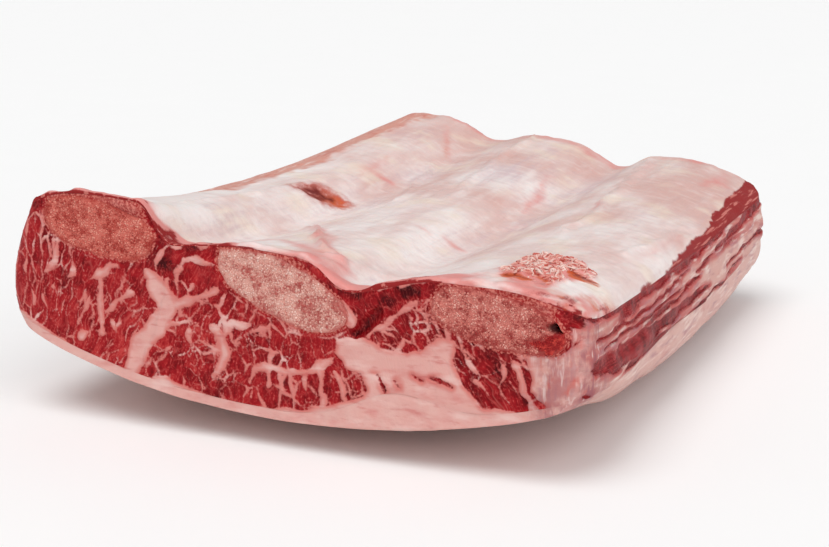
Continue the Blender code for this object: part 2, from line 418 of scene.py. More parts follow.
# The thick fat of the front cut, in millimetres: x, height and half width along each seam.
SEAMS = [
    [(-45.5, 50, 1.9), (-40.7, 45.1, 4.4), (-39.2, 39.6, 4.2), (-44, 33.3, 3.4), (-49, 28.2, 4.0),
     (-51.8, 22.1, 3.6), (-53.5, 16, 3.8)],
    [(-20.5, 47.6, 0.3), (-27.9, 44.7, 0.9), (-34, 42.4, 1.5), (-39, 40, 2.6)],
    [(-39.5, 34.4, 1.6), (-34.7, 34.4, 0.9), (-31.4, 37, 0.7), (-28.1, 40.1, 0.5)],
    [(-63.4, 47.5, 0.5), (-63.2, 38.3, 0.8), (-63.4, 30.2, 1.1)],
    [(-71.5, 27.6, 1.2), (-66, 30.2, 1.2), (-62.6, 31.4, 0.6)],
    [(-56.8, 51.5, 1.2), (-62.9, 49.3, 1.2), (-68.5, 46.5, 0.8), (-72.9, 42, 0.5)],
    [(-73.8, 59.8, 0.6), (-73.6, 52.4, 0.6), (-73.3, 47.8, 0.7), (-76.2, 44, 0.4)],
    [(-78, 58.5, 0.9), (-79.8, 51.8, 0.9), (-84.5, 47.9, 0.5), (-86.3, 43.1, 0.5)],
    [(-81, 58.6, 0.8), (-73, 58.8, 1.0), (-66, 57.5, 0.6)],
    [(-92, 45.5, 0.4), (-90.2, 40.4, 1.0), (-89.3, 36.5, 0.9)],
    [(-85.4, 40, 0.9), (-83.7, 35.1, 0.6), (-82.6, 31.7, 0.4)],
    [(-64.2, 45.1, 0.4), (-67.5, 40.2, 0.8), (-71.3, 35.2, 0.7), (-72.8, 32.1, 0.4)],
    [(-42.9, 39.8, 1.0), (-48.9, 38.6, 0.7), (-52.3, 35.4, 0.9), (-55.2, 31, 0.4)],
    [(-51.2, 43.5, 0.7), (-56.7, 40.7, 0.5), (-61, 36.2, 0.4)],
    [(-79.5, 46.1, 0.5), (-81.1, 43, 0.8), (-79.9, 40.2, 0.4)],
    [(-58.4, 34.2, 0.6), (-57.4, 28.5, 0.5), (-55.6, 25.2, 0.4)],
    [(-22.6, 36.2, 0.9), (-18.9, 32.7, 1.8), (-18.5, 28.2, 2.0), (-21.5, 23.4, 1.2), (-23.2, 20, 0.6)],
    [(-26.1, 26.8, 0.5), (-20.3, 29.1, 0.9)],
    [(-18.5, 33, 1.2), (-14.4, 38.4, 1.2), (-12, 37.3, 1.4), (-9, 37, 0.8)],
    [(-30.3, 33.7, 0.9), (-31.1, 29.1, 0.7), (-35.2, 24, 0.5)],
    [(-39, 27.1, 0.9), (-43.7, 24.2, 0.5)],
    [(-10.1, 19.6, 0.8), (-8.8, 22.9, 1.2), (-5.3, 24.9, 1.5), (-1.9, 25.4, 1.1), (2.6, 24.6, 1.5),
     (7, 24.8, 1.0), (10.4, 25.7, 1.0), (14.3, 27.7, 0.9), (18.7, 31.5, 0.6)],
    [(-8.8, 22.9, 0.7), (-9.6, 15.5, 0.4)],
    [(-3.6, 25, 1.0), (-3.7, 20.6, 0.5)],
    [(0.9, 25, 1.1), (0.8, 19.4, 0.5)],
    [(4.4, 24.3, 0.9), (4.6, 18.2, 0.4)],
    [(9.3, 25.1, 0.9), (9.2, 18.6, 0.5)],
    [(13.9, 27.6, 1.2), (14.3, 15.5, 1.0)],
    [(19.1, 25.8, 0.6), (21.3, 22.5, 1.0), (23.6, 17, 0.9)],
    [(-38.1, 59.2, 1.2), (-39.7, 57.5, 1.7), (-41.6, 54.2, 1.3), (-42, 50.5, 0.8)],
    [(-34.6, 48.5, 0.9), (-34.4, 50.5, 1.1), (-32.7, 53.1, 1.1), (-31.2, 55.1, 1.1), (-28.7, 55.8, 1.0),
     (-25.2, 56, 1.0), (-21.7, 54.7, 0.7)],
    [(-9.6, 47.2, 0.5), (-2.6, 42.6, 0.7), (4, 39.9, 0.7), (9, 37.8, 0.7), (15, 36.2, 0.6)],
    [(45.4, 51, 0.6), (40.5, 46.7, 0.9), (35.3, 43, 1.1), (29.5, 38, 1.6)],
    [(21.5, 47, 1.2), (24.5, 42, 1.7), (25.8, 37.6, 1.6)],
    [(47.7, 41.3, 0.8), (48.2, 38, 1.0)],
    [(58, 39.1, 0.6), (60.1, 35, 1.0), (63.6, 31.6, 0.6)],
    [(66, 40, 0.6), (69, 36, 0.6), (71, 34.4, 0.3)],
    [(70.3, 35.6, 0.7), (71.5, 31, 0.5), (70.1, 27.9, 0.3)],
    [(63.1, 28.6, 0.5), (65.1, 26.9, 0.5), (67.2, 25.2, 0.3)],
    [(73.2, 37.5, 1.1), (76.6, 31.2, 1.1), (78.5, 25, 1.1)],
]
# Broad fat: the pad under the second gap, and the corner on the right.
FAT_PADS = [
    [(19.5, 37.4), (19, 33), (22.5, 28.7), (28.3, 26.8), (28.8, 21.4), (26.6, 18.2), (20, 16), (20, 6),
     (80, 6), (76.6, 20.6), (71.7, 19.9), (66, 21.2), (62.2, 23.6), (58.6, 29), (56.1, 33.6),
     (56.5, 40.4), (52.3, 40.5), (48.5, 38), (45.6, 35.3), (36, 35.8), (27, 37.2)],
    [(73, 41.5), (76, 36), (77, 31), (78.4, 26), (78, 21), (79, 6), (110, 6), (110, 46), (92, 44),
     (88, 40), (80, 39.6)],
    [(80, 54.5), (79, 58), (104, 58), (104, 42), (93.5, 42), (93, 47), (91.5, 51.5), (87, 53.5)],
]
# Lean flecks in that fat, and the lean crescent under the right-hand bone.
LEAN_FLECKS = [
    [(32, 27.3, 0.6), (34.7, 22.6, 0.7)],
    [(37.3, 26.4, 0.3), (39.4, 24.7, 0.5)],
    [(43.6, 28.7, 0.4), (46.7, 27.1, 0.4)],
    [(48.7, 27.8, 0.5), (52, 27.2, 0.8), (55.6, 26.5, 0.4)],
    [(76.6, 36, 1.2), (78.4, 32, 1.1), (78.4, 28.6, 0.6)],
    [(78.8, 28, 0.6), (82.2, 24.2, 1.2)],
    [(79, 41.2, 1.4), (86, 41.4, 2.4), (91.4, 45.4, 2.0), (92, 50, 0.8)],
    [(47, 17.6, 0.3), (49.5, 17.4, 0.5)],
    [(82.5, 54.6, 0.5), (85.5, 54.4, 0.8)],
    [(90.5, 53.5, 0.7), (93.5, 52.6, 0.9)],
]
# Where the fat under the meat begins at the front cut: x, height.
FLOOR_LINE = [(-101, 36.5), (-95, 34), (-83.5, 28.3), (-70, 22.2), (-58, 17.6), (-47, 16.5), (-40, 18.4),
              (-28, 14.6), (-15.5, 11.8), (7, 13.4), (23.6, 18.0), (38, 23.3), (55, 21), (110, 21)]


def front_fat(x, z, wander):
    """How deep in fat a place of the front cut lies, in millimetres, negative in the lean."""
    x = x + 1.0 * noise(wander, 5.5, 3) + 0.45 * noise(wander, 2.3, 4)
    z = z + 1.0 * noise(wander, 5.5, 5) + 0.45 * noise(wander, 2.3, 6)
    fat = read_off(x, FLOOR_LINE) - z
    uneven = 0.25 + 0.9 * noise(wander, 5, 82) + 0.4 * noise(wander, 2, 89)
    for seam in SEAMS:
        fat = np.maximum(fat, strand(x, z, seam) - uneven)
    for pad in FAT_PADS:
        fat = np.maximum(fat, patch_depth(x, z, pad))
    for fleck in LEAN_FLECKS:
        fat = np.minimum(fat, -strand(x, z, fleck))
    return fat


FAN_LEFT, LEFT_ARM = (-97.0, -30.0), 80.0  # the fibres of the left muscle spread from here, so far away
FAN_RIGHT, RIGHT_ARM = (5.0, 120.0), 92.0  # and those of the other two hang from here
LEFT_MUSCLE_TO, LEFT_MUSCLE_SLOPE = (-43, 35), 0.3  # a place on its right border, and how that leans
SECOND_GAP_FROM, RIGHT_MUSCLE_FROM = 20, 50
OTHER_BUNDLES = 31.7  # sets the bundles of those two away from the left muscle's
BUNDLE = 5.0  # millimetres across a bundle of fibres
STRETCH = {"left": 3.2, "middle": 1.45, "right": 2.6}  # how long a bundle of fibres is cut, over its width


def fibre_place(x, z):
    """Places in the front cut, measured along and across the bundles of fibres, in bundles."""
    left = x < LEFT_MUSCLE_TO[0] + (z - LEFT_MUSCLE_TO[1]) * LEFT_MUSCLE_SLOPE
    dx = np.where(left, x - FAN_LEFT[0], x - FAN_RIGHT[0])
    dz = np.where(left, z - FAN_LEFT[1], FAN_RIGHT[1] - z)
    swing, reach = np.arctan2(dx, dz), np.hypot(dx, dz)
    long = np.where(x > RIGHT_MUSCLE_FROM, STRETCH["right"], STRETCH["middle"])
    long = np.where(left, STRETCH["left"], long)
    arm = np.where(left, LEFT_ARM, RIGHT_ARM)
    lengthwise = reach / (BUNDLE * long) + np.where(left, 0, OTHER_BUNDLES)
    return lengthwise, swing * arm / BUNDLE, long


# Bands of lean on the right side, in millimetres from the front cut: y, height and half width.
SIDE_LEAN = [
    [(2, 51, 1.4), (14, 48.6, 1.6), (33, 45.6, 1.6), (50, 44.6, 2.0), (75, 43.8, 2.2), (100, 44.6, 2.2),
     (119, 45.4, 2.6), (135, 46.8, 5.2), (157, 47.6, 3.6), (181, 50, 4.6), (210, 54, 6.0), (262, 55, 5.0)],
    [(160, 39.8, 1.2), (193, 41, 1.6), (223, 43.4, 2.6), (262, 46.5, 2.2)],
    [(3, 33.9, 0.2), (11, 33, 1.4), (27, 31.6, 3.0), (50, 30.4, 3.6), (75, 29.8, 2.6), (97, 30.3, 2.0),
     (127, 30, 1.4), (146, 29.6, 0.3)],
    [(108, 21, 0.3), (135, 19.4, 1.0), (154, 20.8, 0.7), (168, 23, 0.2)],
    [(128, 37.4, 0.3), (140, 38.4, 0.9), (155, 39.4, 0.3)],
    [(170, 31, 0.2), (200, 31.5, 1.0), (232, 33, 0.8), (256, 34, 1.4)],
    [(-4, 33.4, 0.7), (3, 28.6, 1.4), (12, 26, 0.5)],
    [(14, 41, 0.3), (45, 39.4, 0.8), (90, 38.8, 0.6), (120, 40, 0.2)],
    [(18, 37.8, 0.3), (50, 36.6, 0.7), (85, 36.2, 0.6), (112, 36.8, 0.2)],
    [(58, 34, 0.2), (92, 34, 0.6), (132, 35.8, 0.5)],
    [(96, 25, 0.3), (130, 24.4, 0.9), (172, 26, 0.6), (200, 27, 0.2)],
    [(150, 43.2, 0.3), (190, 45.4, 0.7), (240, 48.4, 0.4)],
]

FRONT_COLUMNS, BACK_COLUMNS = 440, 190
SIDE_ROWS, LEVELS = 150, 92
TUNNEL_SIDES, TUNNEL_ROWS = 150, 12
HIDDEN_POINTS, HIDDEN_REACH = 26, 0.965
JITTER = 0.3  # how far a point inside a sawn end strays, over the step between points
HOLE_MARGIN = 0.45 * MM  # round a rib, where a sawn end has no other points


def cut_face(deep, columns, levels, holes, under, top, seed):
    """A sawn end, closely filled with points, round the holes in it."""
    across, level = spread(columns), np.linspace(0, 1, levels)
    loop = np.concatenate([
        place(across, deep, 0, under, top)[:-1],
        place(1, deep, level, under, top)[:-1],
        place(across[::-1], deep, 1, under, top)[:-1],
        place(-1, deep, level[::-1], under, top)[:-1],
    ])
    inner_across, inner_level = (g.ravel() for g in np.meshgrid(across[1:-1], level[1:-1]))
    random = np.random.default_rng(seed)
    inner_across = inner_across + random.uniform(-JITTER, JITTER, len(inner_across)) * 2 / columns
    inner_level = inner_level + random.uniform(-JITTER, JITTER, len(inner_level)) / levels
    inner = place(inner_across, deep, inner_level, under, top)
    for hole in holes:
        gap_x = inner[:, None, 0] - hole[None, ::2, 0]
        gap_z = inner[:, None, 2] - hole[None, ::2, 2]
        near = np.hypot(gap_x, gap_z).min(axis=1) < HOLE_MARGIN
        inner = inner[~inside(inner[:, [0, 2]], hole[:, [0, 2]]) & ~near]
    return fill([loop, *holes], inner, [0, 2])


def side_face(across, rows, levels, under, top):
    deep, level = (g.ravel() for g in np.meshgrid(spread(rows), np.linspace(0, 1, levels)))
    return place(across, deep, level, under, top), grid_faces(levels, rows)


def hidden_face(level, front, back, rows, under, top):
    """The underside or the top of a layer where another lies on it, with few points inside."""
    deep = spread(rows)
    loop = np.concatenate([
        place(spread(front), -1, level, under, top)[:-1],
        place(1, deep, level, under, top)[:-1],
        place(-spread(back), 1, level, under, top)[:-1],
        place(-1, deep[::-1], level, under, top)[:-1],
    ])
    places = np.linspace(-HIDDEN_REACH, HIDDEN_REACH, HIDDEN_POINTS)
    inner_across, inner_deep = (g.ravel() for g in np.meshgrid(places, places))
    return fill([loop], place(inner_across, inner_deep, level, under, top), [0, 1])


def tunnel(rib, rows, sides, grown):
    """The tube round a rib from the front cut to the back cut."""
    rings = [bone_outline(rib, y, sides, grown) for y in np.linspace(-HALF_LENGTH, HALF_LENGTH, rows)]
    rings = [np.concatenate([ring, ring[:1]]) for ring in rings]
    return np.concatenate(rings), grid_faces(rows, sides + 1)


HOLE_CLEARANCE = 0.02 * MM
front_holes, back_holes = (
    [bone_outline(rib, y, TUNNEL_SIDES, HOLE_CLEARANCE) for rib in RIBS.values()]
    for y in (-HALF_LENGTH, HALF_LENGTH)
)
layer = (meat_under, meat_top)
meat = joined("meat_block", [
    cut_face(-1, FRONT_COLUMNS, LEVELS, front_holes, *layer, seed=1),
    cut_face(1, BACK_COLUMNS, LEVELS, back_holes, *layer, seed=2),
    side_face(-1, SIDE_ROWS, LEVELS, *layer),
    side_face(1, SIDE_ROWS, LEVELS, *layer),
    hidden_face(0, FRONT_COLUMNS, BACK_COLUMNS, SIDE_ROWS, *layer),
    hidden_face(1, FRONT_COLUMNS, BACK_COLUMNS, SIDE_ROWS, *layer),
    *(tunnel(rib, TUNNEL_ROWS, TUNNEL_SIDES, HOLE_CLEARANCE) for rib in RIBS.values()),
])


def front_place(points):
    """Where each point would lie in the front cut, in millimetres, if it slid along the ribs."""
    x, y, z = points.T
    low, high = meat_under(x, y), meat_top(x, y)
    level = np.clip((z - low) / (high - low), -0.1, 1.1)
    front_x = mix((LEFT_EDGE[0], RIGHT_EDGE[0]), (place_across(x, y) + 1) / 2)
    front_y = np.full_like(x, -HALF_LENGTH)
    low, high = meat_under(front_x, front_y), meat_top(front_x, front_y)
    return front_x / MM, (low + (high - low) * level) / MM


CORNER_SPOT = [(88.5, 28.5, 0.4), (90.5, 32.5, 0.9)]  # blood under the fat of the right corner
HOLLOW = [(25.5, 38.6, 0.9), (28.5, 41.6, 2.0), (32.6, 45.6, 1.4)]  # the hollow between two ribs, its lean painted dark as shade
HOLLOW_DEPTH, HOLLOW_REACH = 2.0, 9 * MM  # the depth in millimetres, and how far in from the front cut the hollow and its painted shade reach
DARK_LEAN = [  # where the lean between the ribs is darkest: x, height, half width
    [(17.6, 54.9, 0.8), (20.8, 52.8, 1.6), (24, 51, 2.2), (26.5, 49.8, 1.0)],
    [(30, 47, 1.2), (35.4, 49.6, 1.8), (39.8, 51.8, 2.2), (43.5, 53.4, 1.2)],
    [(-40.4, 52, 1.4), (-37.4, 53.6, 2.0), (-35, 52.4, 1.2)],
]
LEAN_OVER_BONE = [(6, 60, 0.6), (12.7, 57.1, 1.6), (17.6, 54, 2.4), (22.4, 50.6, 3.0), (27, 48, 3.0)]


def soft(depth, blur):
    """0 outside a shape, 1 inside it, and a smooth step about as wide as twice the blur."""
    return ease((depth + blur) / (2 * blur))


def in_strands(x, z, lines, blur, grown=0.0):
    """How strongly each place lies in the strands, which are made wider by grown."""
    return sum(soft(strand(x, z, line) + grown, blur) for line in lines)


EDGE_LIFT = 0.15  # how far every layer stands out where it meets the next, in millimetres
EDGE_WIDTH = 1.5 * MM  # and from how far away it rises or falls to that
BONY_WIDTH = 1.8  # how far the sponge of a bone shows in the meat round it, in millimetres
FAR = 99.0  # what stands for any greater distance from the bones, in millimetres


def cut_lumps(points):
    """The low lumps that every sawn face of the slab shares, in millimetres."""
    return 0.4 * noise(points, 26, 31) + 0.25 * noise(points, 9, 32)


def straightened(normals):
    """The normals, turned straight out of a side or a saw cut where they nearly face that way. Layers
    that meet at an edge then move the same way there."""
    for axis, direction in ((0, (1, 0, 0)), (1, (0, 1, 0))):
        facing = ease((np.abs(normals[:, axis]) - 0.4) / 0.25)[:, None]
        normals = normals * (1 - facing) + facing * np.sign(normals[:, axis:axis + 1]) * direction
    return normals


def away_from_bones(points, ribs):
    """How far points of the two saw cuts lie from the nearest rib's outline, in millimetres."""
    away = np.full(len(points), FAR)
    for rib, end in itertools.product(ribs, (-1, 1)):
        near = points[:, 1] * end > HALF_LENGTH - 6 * MM
        loop = bone_outline(rib, end * HALF_LENGTH, TUNNEL_SIDES)
        gap_x = points[near, 0][:, None] - loop[None, :, 0]
        gap_z = points[near, 2][:, None] - loop[None, :, 2]
        away[near] = np.minimum(away[near], np.hypot(gap_x, gap_z).min(axis=1) / MM)
    return away


PLAIN_FROM = (44.5, 0.12, 46)  # the plain lean between two ribs: lowest, rise to the sides, half width
SKIN_DEPTH = 5.0  # how deep the lean under the membrane is plain
PLAIN = 5.0  # how much marbling plain lean is kept clear of
FINER = 1.9  # how many of the finer bundles lie across a bundle of fibres
SAWN_FROM, SAWN_TO = 1, 253  # where the two sides begin and end, in millimetres from the front cut


def veined(points, u, v, long, plain, right_muscle):
    """How deep in a fat vein between bundles of fibres each place lies, and each bundle's own value."""
    border, own = cells(u, v, long, 3)
    finer, fine_own = cells(u * FINER + 3.3, v * FINER + 7.7, long, 6)
    vein = 0.12 - 0.22 * right_muscle + 0.05 * (long < 2)
    vein = vein + 0.42 * noise(points, 4, 9) + 0.28 * noise(points, 18, 10)
    fat = vein - plain - border * BUNDLE
    vein = 0.06 * (long > 3) - 0.15 + 0.5 * noise(points, 5, 19) + 0.4 * noise(points, 15, 20)
    tint = 0.6 * (own - 0.5) + 0.4 * (fine_own - 0.5)
    return np.maximum(fat, vein - plain - finer * BUNDLE / FINER), tint


def layered_sides(points):
    """The bands of lean on the right side and the streaks of fat on the left side, and where each is."""
    x, y, z = points.T
    from_front = (y + HALF_LENGTH) / MM
    ragged_corner = 2.5 * noise(points, (9, 9, 3), 85)
    sawn_side = ease((from_front - SAWN_FROM + ragged_corner) / 8)
    sawn_side = sawn_side * ease((SAWN_TO - from_front + ragged_corner) / 5)
    right = ease((place_across(x, y) - 0.9) / 0.05) * sawn_side
    left = ease((-place_across(x, y) - 0.9) / 0.05) * sawn_side
    band_y = from_front + 5 * noise(points, 18, 21)
    ragged = 1.0 * noise(points, (9, 12, 4), 22) + 0.6 * noise(points, (3, 5, 2), 23)
    band = np.full(len(x), 4.0)
    for lean in SIDE_LEAN:
        band = np.minimum(band, -strand(band_y, z / MM + ragged, lean))
    band = np.minimum(band, 1.6 + 2.2 * noise(points, (9, 34, 4), 24))
    wavy = 0.8 * noise(points, (20, 20, 9), 25) + 0.5 * noise(points, 6, 28)
    streak, _ = cells(y / (17 * MM) + 5.5 + wavy, z / (3.4 * MM) + wavy, 5.0, 9)
    streak = 0.1 + 1.3 * noise(points, (12, 18, 6), 26) - streak * 3.0
    above_cap = (meat_under(x, y) + 2.2 * MM - z) / MM
    streak = np.maximum(streak, above_cap + 1.2 * noise(points, 6, 27))
    return right, left, band, streak


def marble(points, away_from_bone):
    """Sorts the meat's surface into fat and lean, and says how the fibres run."""
    x, y, z = points.T
    share = along(y)
    away = ease(((y + HALF_LENGTH) / MM - 15) / 60)
    fx, fz = front_place(points)
    fx = fx + away * (4 * noise(points, 30, 11) + 1.5 * noise(points, 9, 12))
    fz = fz + away * (3 * noise(points, 30, 13) + 1.2 * noise(points, 9, 14))
    lowest, rise, half_width = PLAIN_FROM
    between_ribs = ease((fz - (lowest + rise * np.abs(fx))) / 4) * (fx > -half_width) * (fx < half_width)
    depth = (meat_top(x, y) - z) / MM
    under_skin = ease((SKIN_DEPTH - depth) / 2.5)
    wander_x = 1.3 * noise(points, 9, 7) + 0.7 * noise(points, 2.6, 8)
    wander_z = 1.3 * noise(points, 9, 16) + 0.7 * noise(points, 2.6, 17)
    u, v, long = fibre_place(fx + wander_x, fz + wander_z)
    fat = front_fat(fx, fz, points)
    plain = PLAIN * np.maximum(between_ribs, under_skin)
    veins, own = veined(points, u, v, long, plain, fx > RIGHT_MUSCLE_FROM)
    fat = np.maximum(fat, veins)

    skin_round_bone = 0.5 * noise(points, 7, 83) + 0.25 * noise(points, 2.5, 84)
    fat = np.maximum(fat, skin_round_bone - np.abs(away_from_bone - 1.6) - 3 * under_skin)
    over_rib = sum(ease((mix(rib["half_width"], share) - np.abs(x - mix(rib["centre"], share))) / (5 * MM))
                   for rib in RIBS.values())
    over_rib = over_rib * ease((7 - depth) / 2) * (1 - soft(strand(fx, fz, LEAN_OVER_BONE), 1.0))
    fat = np.maximum(fat, 0.1 + 0.8 * noise(points, 3, 86) - 5 * (1 - over_rib))
    lip_flesh = -0.1 + 0.8 * noise(points, 5, 87) + 0.5 * noise(points, 1.7, 88) - 0.6 * depth
    fat = np.maximum(fat, lip_flesh)
    tint = own + 0.5 * noise(points, 14, 15)
    second_gap = fx > SECOND_GAP_FROM
    tint = tint + between_ribs * (-0.15 - 0.4 * second_gap + 1.2 * noise(points, 6, 18))
    tint = tint - 0.3 * second_gap - 0.2 * (fx > RIGHT_MUSCLE_FROM)
    tint = tint - 0.9 * in_strands(fx, fz, DARK_LEAN, 1.4)

    right, left, band, streak = layered_sides(points)
    fat = fat * (1 - right - left) + band * right + streak * left
    sides = np.maximum(right, left) > 0.5
    u = np.where(sides, y / (14 * MM), u)
    v = np.where(sides, z / (2.4 * MM) + 3.7, v)
    marbled = np.where(sides, 0.25, 1 - np.maximum(between_ribs, under_skin))
    return np.clip(fat, -4, 4), np.stack([u, v, 0 * u], axis=-1), tint, marbled, right, left, over_rib


def near_corner(points):
    """How near the upright corner in front on the right each place lies, and the same in the saw cut."""
    x, y, _ = points.T
    from_front = (y + HALF_LENGTH) / MM
    across = ease((x / MM - 75 + 4 * noise(points, 8, 90)) / 9)
    return across * ease((24 - from_front) / 18), 0.85 * across * ease((9 - from_front) / 9)


points, normals = coordinates(meat.data)
away_from_bone = away_from_bones(points, RIBS.values())
bony = ease((BONY_WIDTH - away_from_bone) / BONY_WIDTH)
fat, fibres, tint, marbled, right_side, left_side, over_rib = marble(points, away_from_bone)
exposed = ease((0.88 - np.abs(normals[:, 2])) / 0.1)
front_x, front_z = front_place(points)
x, y, z = points.T
hollow = ease((strand(front_x, front_z, HOLLOW) + 1.1) / 2.2) * (y < -HALF_LENGTH + HOLLOW_REACH)
fat = mix((fat, np.full_like(fat, -4.0)), hollow)
fatness = ease((fat + 0.4) / 0.9)
on_side = np.maximum(right_side, left_side)
lift = 0.28 * fatness + 0.2 * tint * (1 - fatness) - HOLLOW_DEPTH * hollow
lift = lift + on_side * (0.7 * noise(points, (9, 40, 5), 33) + 0.5 * fatness)
lift = lift + (1 - marbled) * 0.9 * noise(points, 6.5, 34)
straight_x = drawn_out(x, y, z)
from_layers = np.minimum(meat_top(straight_x, y) - z, z - meat_under(straight_x, y))
inner = ease(from_layers / EDGE_WIDTH) * (1 - bony)
lift = cut_lumps(points) + EDGE_LIFT + (lift - EDGE_LIFT) * inner
move(meat.data, points + straightened(normals) * (lift * exposed * MM)[:, None])
corner, sawn_corner = near_corner(points)
# In the hollow the tint is lowered: painted shade that darkens the recess.
keep(meat.data, fat=fat, fibres=fibres, tint=tint - hollow, marbled=marbled * (1 - hollow), corner=corner,
     side=np.maximum(on_side, sawn_corner), spot=soft(strand(front_x, front_z, CORNER_SPOT), 1.6),
     bony=np.maximum(bony, over_rib))


class Socket:
    """An output of a node, which Python's arithmetic works on by adding Math nodes."""

    def __init__(self, graph, socket):
        self.graph, self.socket = graph, socket

    def maths(self, operation, *values, clamp=False):
        settings = {"operation": operation, "use_clamp": clamp}
        return self.graph.node("ShaderNodeMath", settings, dict(enumerate(values)))

    def __add__(self, other):
        return self.maths("ADD", self, other)

    def __sub__(self, other):
        return self.maths("SUBTRACT", self, other)

    def __mul__(self, other):
        return self.maths("MULTIPLY", self, other)

    def __rsub__(self, other):
        return self.maths("SUBTRACT", other, self)

    __radd__ = __add__
    __rmul__ = __mul__

    def clamped(self):
        return self.maths("ADD", self, 0.0, clamp=True)

    def over(self, other):
        return self.maths("MAXIMUM", self, other)

    def rise(self, low, high):
        """0 at low, 1 at high, and a smooth step between."""
        limits = {"Value": self, "From Min": low, "From Max": high}
        return self.graph.node("ShaderNodeMapRange", {"interpolation_type": "SMOOTHSTEP"}, limits)


class Graph:
    """A node tree that is made up from what its node method returns."""

    def __init__(self, tree):
        self.tree = tree

    def node(self, kind, settings=None, values=None, out=0):
        """Adds a node: its settings first, then the values or links of its sockets."""
        made = self.tree.nodes.new(kind)
        for key, value in (settings or {}).items():
            if key == "stops":
                self.set_stops(made.color_ramp, value)
            else:
                setattr(made, key, value)
        for key, value in (values or {}).items():
            socket = self.find(made.inputs, key)
            if isinstance(value, Socket):
                self.tree.links.new(value.socket, socket)
            else:
                socket.default_value = value
        return Socket(self, self.find(made.outputs, out)) if made.outputs else made

    @staticmethod
    def find(sockets, key):
        if isinstance(key, int):
            return sockets[key]
        return next(s for s in sockets if s.identifier == key or (s.name == key and s.enabled))

    @staticmethod
    def set_stops(ramp, stops):
        while len(ramp.elements) < len(stops):
            ramp.elements.new(1.0)
        for element, (position, colour) in zip(ramp.elements, stops):
            element.position, element.color = position, colour


class Finish(Graph):
    """A material of nodes."""

    def __init__(self, name):
        self.material = bpy.data.materials.new(name)
        self.material.use_nodes = True
        super().__init__(self.material.node_tree)
        self.tree.nodes.clear()
        self.place = self.node("ShaderNodeTexCoord", out="Object")

    def value(self, name):
        """A number that the mesh holds for each point."""
        return self.node("ShaderNodeAttribute", {"attribute_name": name}, out="Fac")

    def vector(self, name):
        return self.node("ShaderNodeAttribute", {"attribute_name": name}, out="Vector")

    def scaled(self, at, size, stretch, turn=(0, 0, 0)):
        scale = tuple(1 / (size * s) for s in stretch)
        values = {"Vector": at or self.place, "Scale": scale, "Rotation": turn}
        return self.node("ShaderNodeMapping", None, values, out="Vector")

    def grain(self, size, detail=2.0, stretch=(1, 1, 1), at=None, turn=(0, 0, 0), shift=0.0):
        """Noise in about 0..1 with lumps of that size, longer where stretch is more than 1."""
        mapped = self.scaled(at, size, stretch, turn)
        values = {"Vector": mapped, "Scale": 1.0, "Detail": detail, "W": shift}
        return self.node("ShaderNodeTexNoise", {"noise_dimensions": "4D"}, values, out="Fac")

    def bent(self, at, size, amount):
        """Places moved about a little, so that what is drawn at them wanders."""
        wander = self.node("ShaderNodeTexNoise", None,
                           {"Vector": at, "Scale": 1 / size, "Detail": 2.0}, out="Color")
        values = {0: wander, 1: (amount,) * 3, 2: at}
        return self.node("ShaderNodeVectorMath", {"operation": "MULTIPLY_ADD"}, values, out="Vector")

    def borders(self, size, at, stretch):
        """Distance to the edges of scattered flat cells."""
        settings = {"feature": "DISTANCE_TO_EDGE", "voronoi_dimensions": "2D"}
        values = {"Vector": self.scaled(at, size, stretch), "Scale": 1.0}
        return self.node("ShaderNodeTexVoronoi", settings, values, out="Distance")

    def blend(self, first, second, factor):
        """A colour part of the way from the first to the second."""
        colours = {"A_Color": first, "B_Color": second, "Factor_Float": factor}
        return self.node("ShaderNodeMix", {"data_type": "RGBA"}, colours, out="Result_Color")

    def streaked(self, colour, streaks):
        """The colour with streaks over it: their tone, size in millimetres, stretch and shift, the noise
        at which they set in and are full, and their strength."""
        for over, size, stretch, shift, limits, strength in streaks:
            lumps = self.grain(size * MM, 4, stretch, shift=shift)
            colour = self.blend(colour, over, lumps.rise(*limits) * strength)
        return colour

    def ramp(self, value, stops):
        return self.node("ShaderNodeValToRGB", {"stops": stops}, {"Fac": value}, out="Color")

    def bump(self, height, distance, strength=1.0):
        values = {"Height": height, "Distance": distance, "Strength": strength}
        return self.node("ShaderNodeBump", None, values, out="Normal")

    def surface(self, varying, constant):
        """The Principled surface. What varies is linked and what is constant is set on its socket."""
        shader = self.node("ShaderNodeBsdfPrincipled", None, {**varying, **constant}, out="BSDF")
        self.node("ShaderNodeOutputMaterial", None, {"Surface": shader})
        return self.material


def tone(red, green, blue):
    """A colour given as a screen shows it, 0 to 255, as the light that it reflects."""
    channels = [value / 255 for value in (red, green, blue)]
    return (*(c / 12.92 if c <= 0.04045 else ((c + 0.055) / 1.055) ** 2.4 for c in channels), 1.0)


CUT_STREAKS = [
    (tone(207, 124, 118), 3.0, (3, 3, 1), 0.0, (0.45, 0.75), 0.65),
    (tone(190, 82, 80), 1.4, (4, 1, 1), 7.0, (0.56, 0.74), 0.45),
    (tone(236, 202, 195), 4.0, (3, 3, 1), 3.0, (0.5, 0.72), 0.7),
]
TRIM_STREAKS = [
    (tone(174, 118, 126), 2.6, (1, 6, 1), 0.0, (0.5, 0.7), 0.75),
    (tone(236, 214, 205), 1.8, (1, 9, 1), 2.0, (0.5, 0.7), 0.75),
    (tone(190, 94, 86), 6.0, (1, 3, 1), 6.0, (0.55, 0.75), 0.6),
]


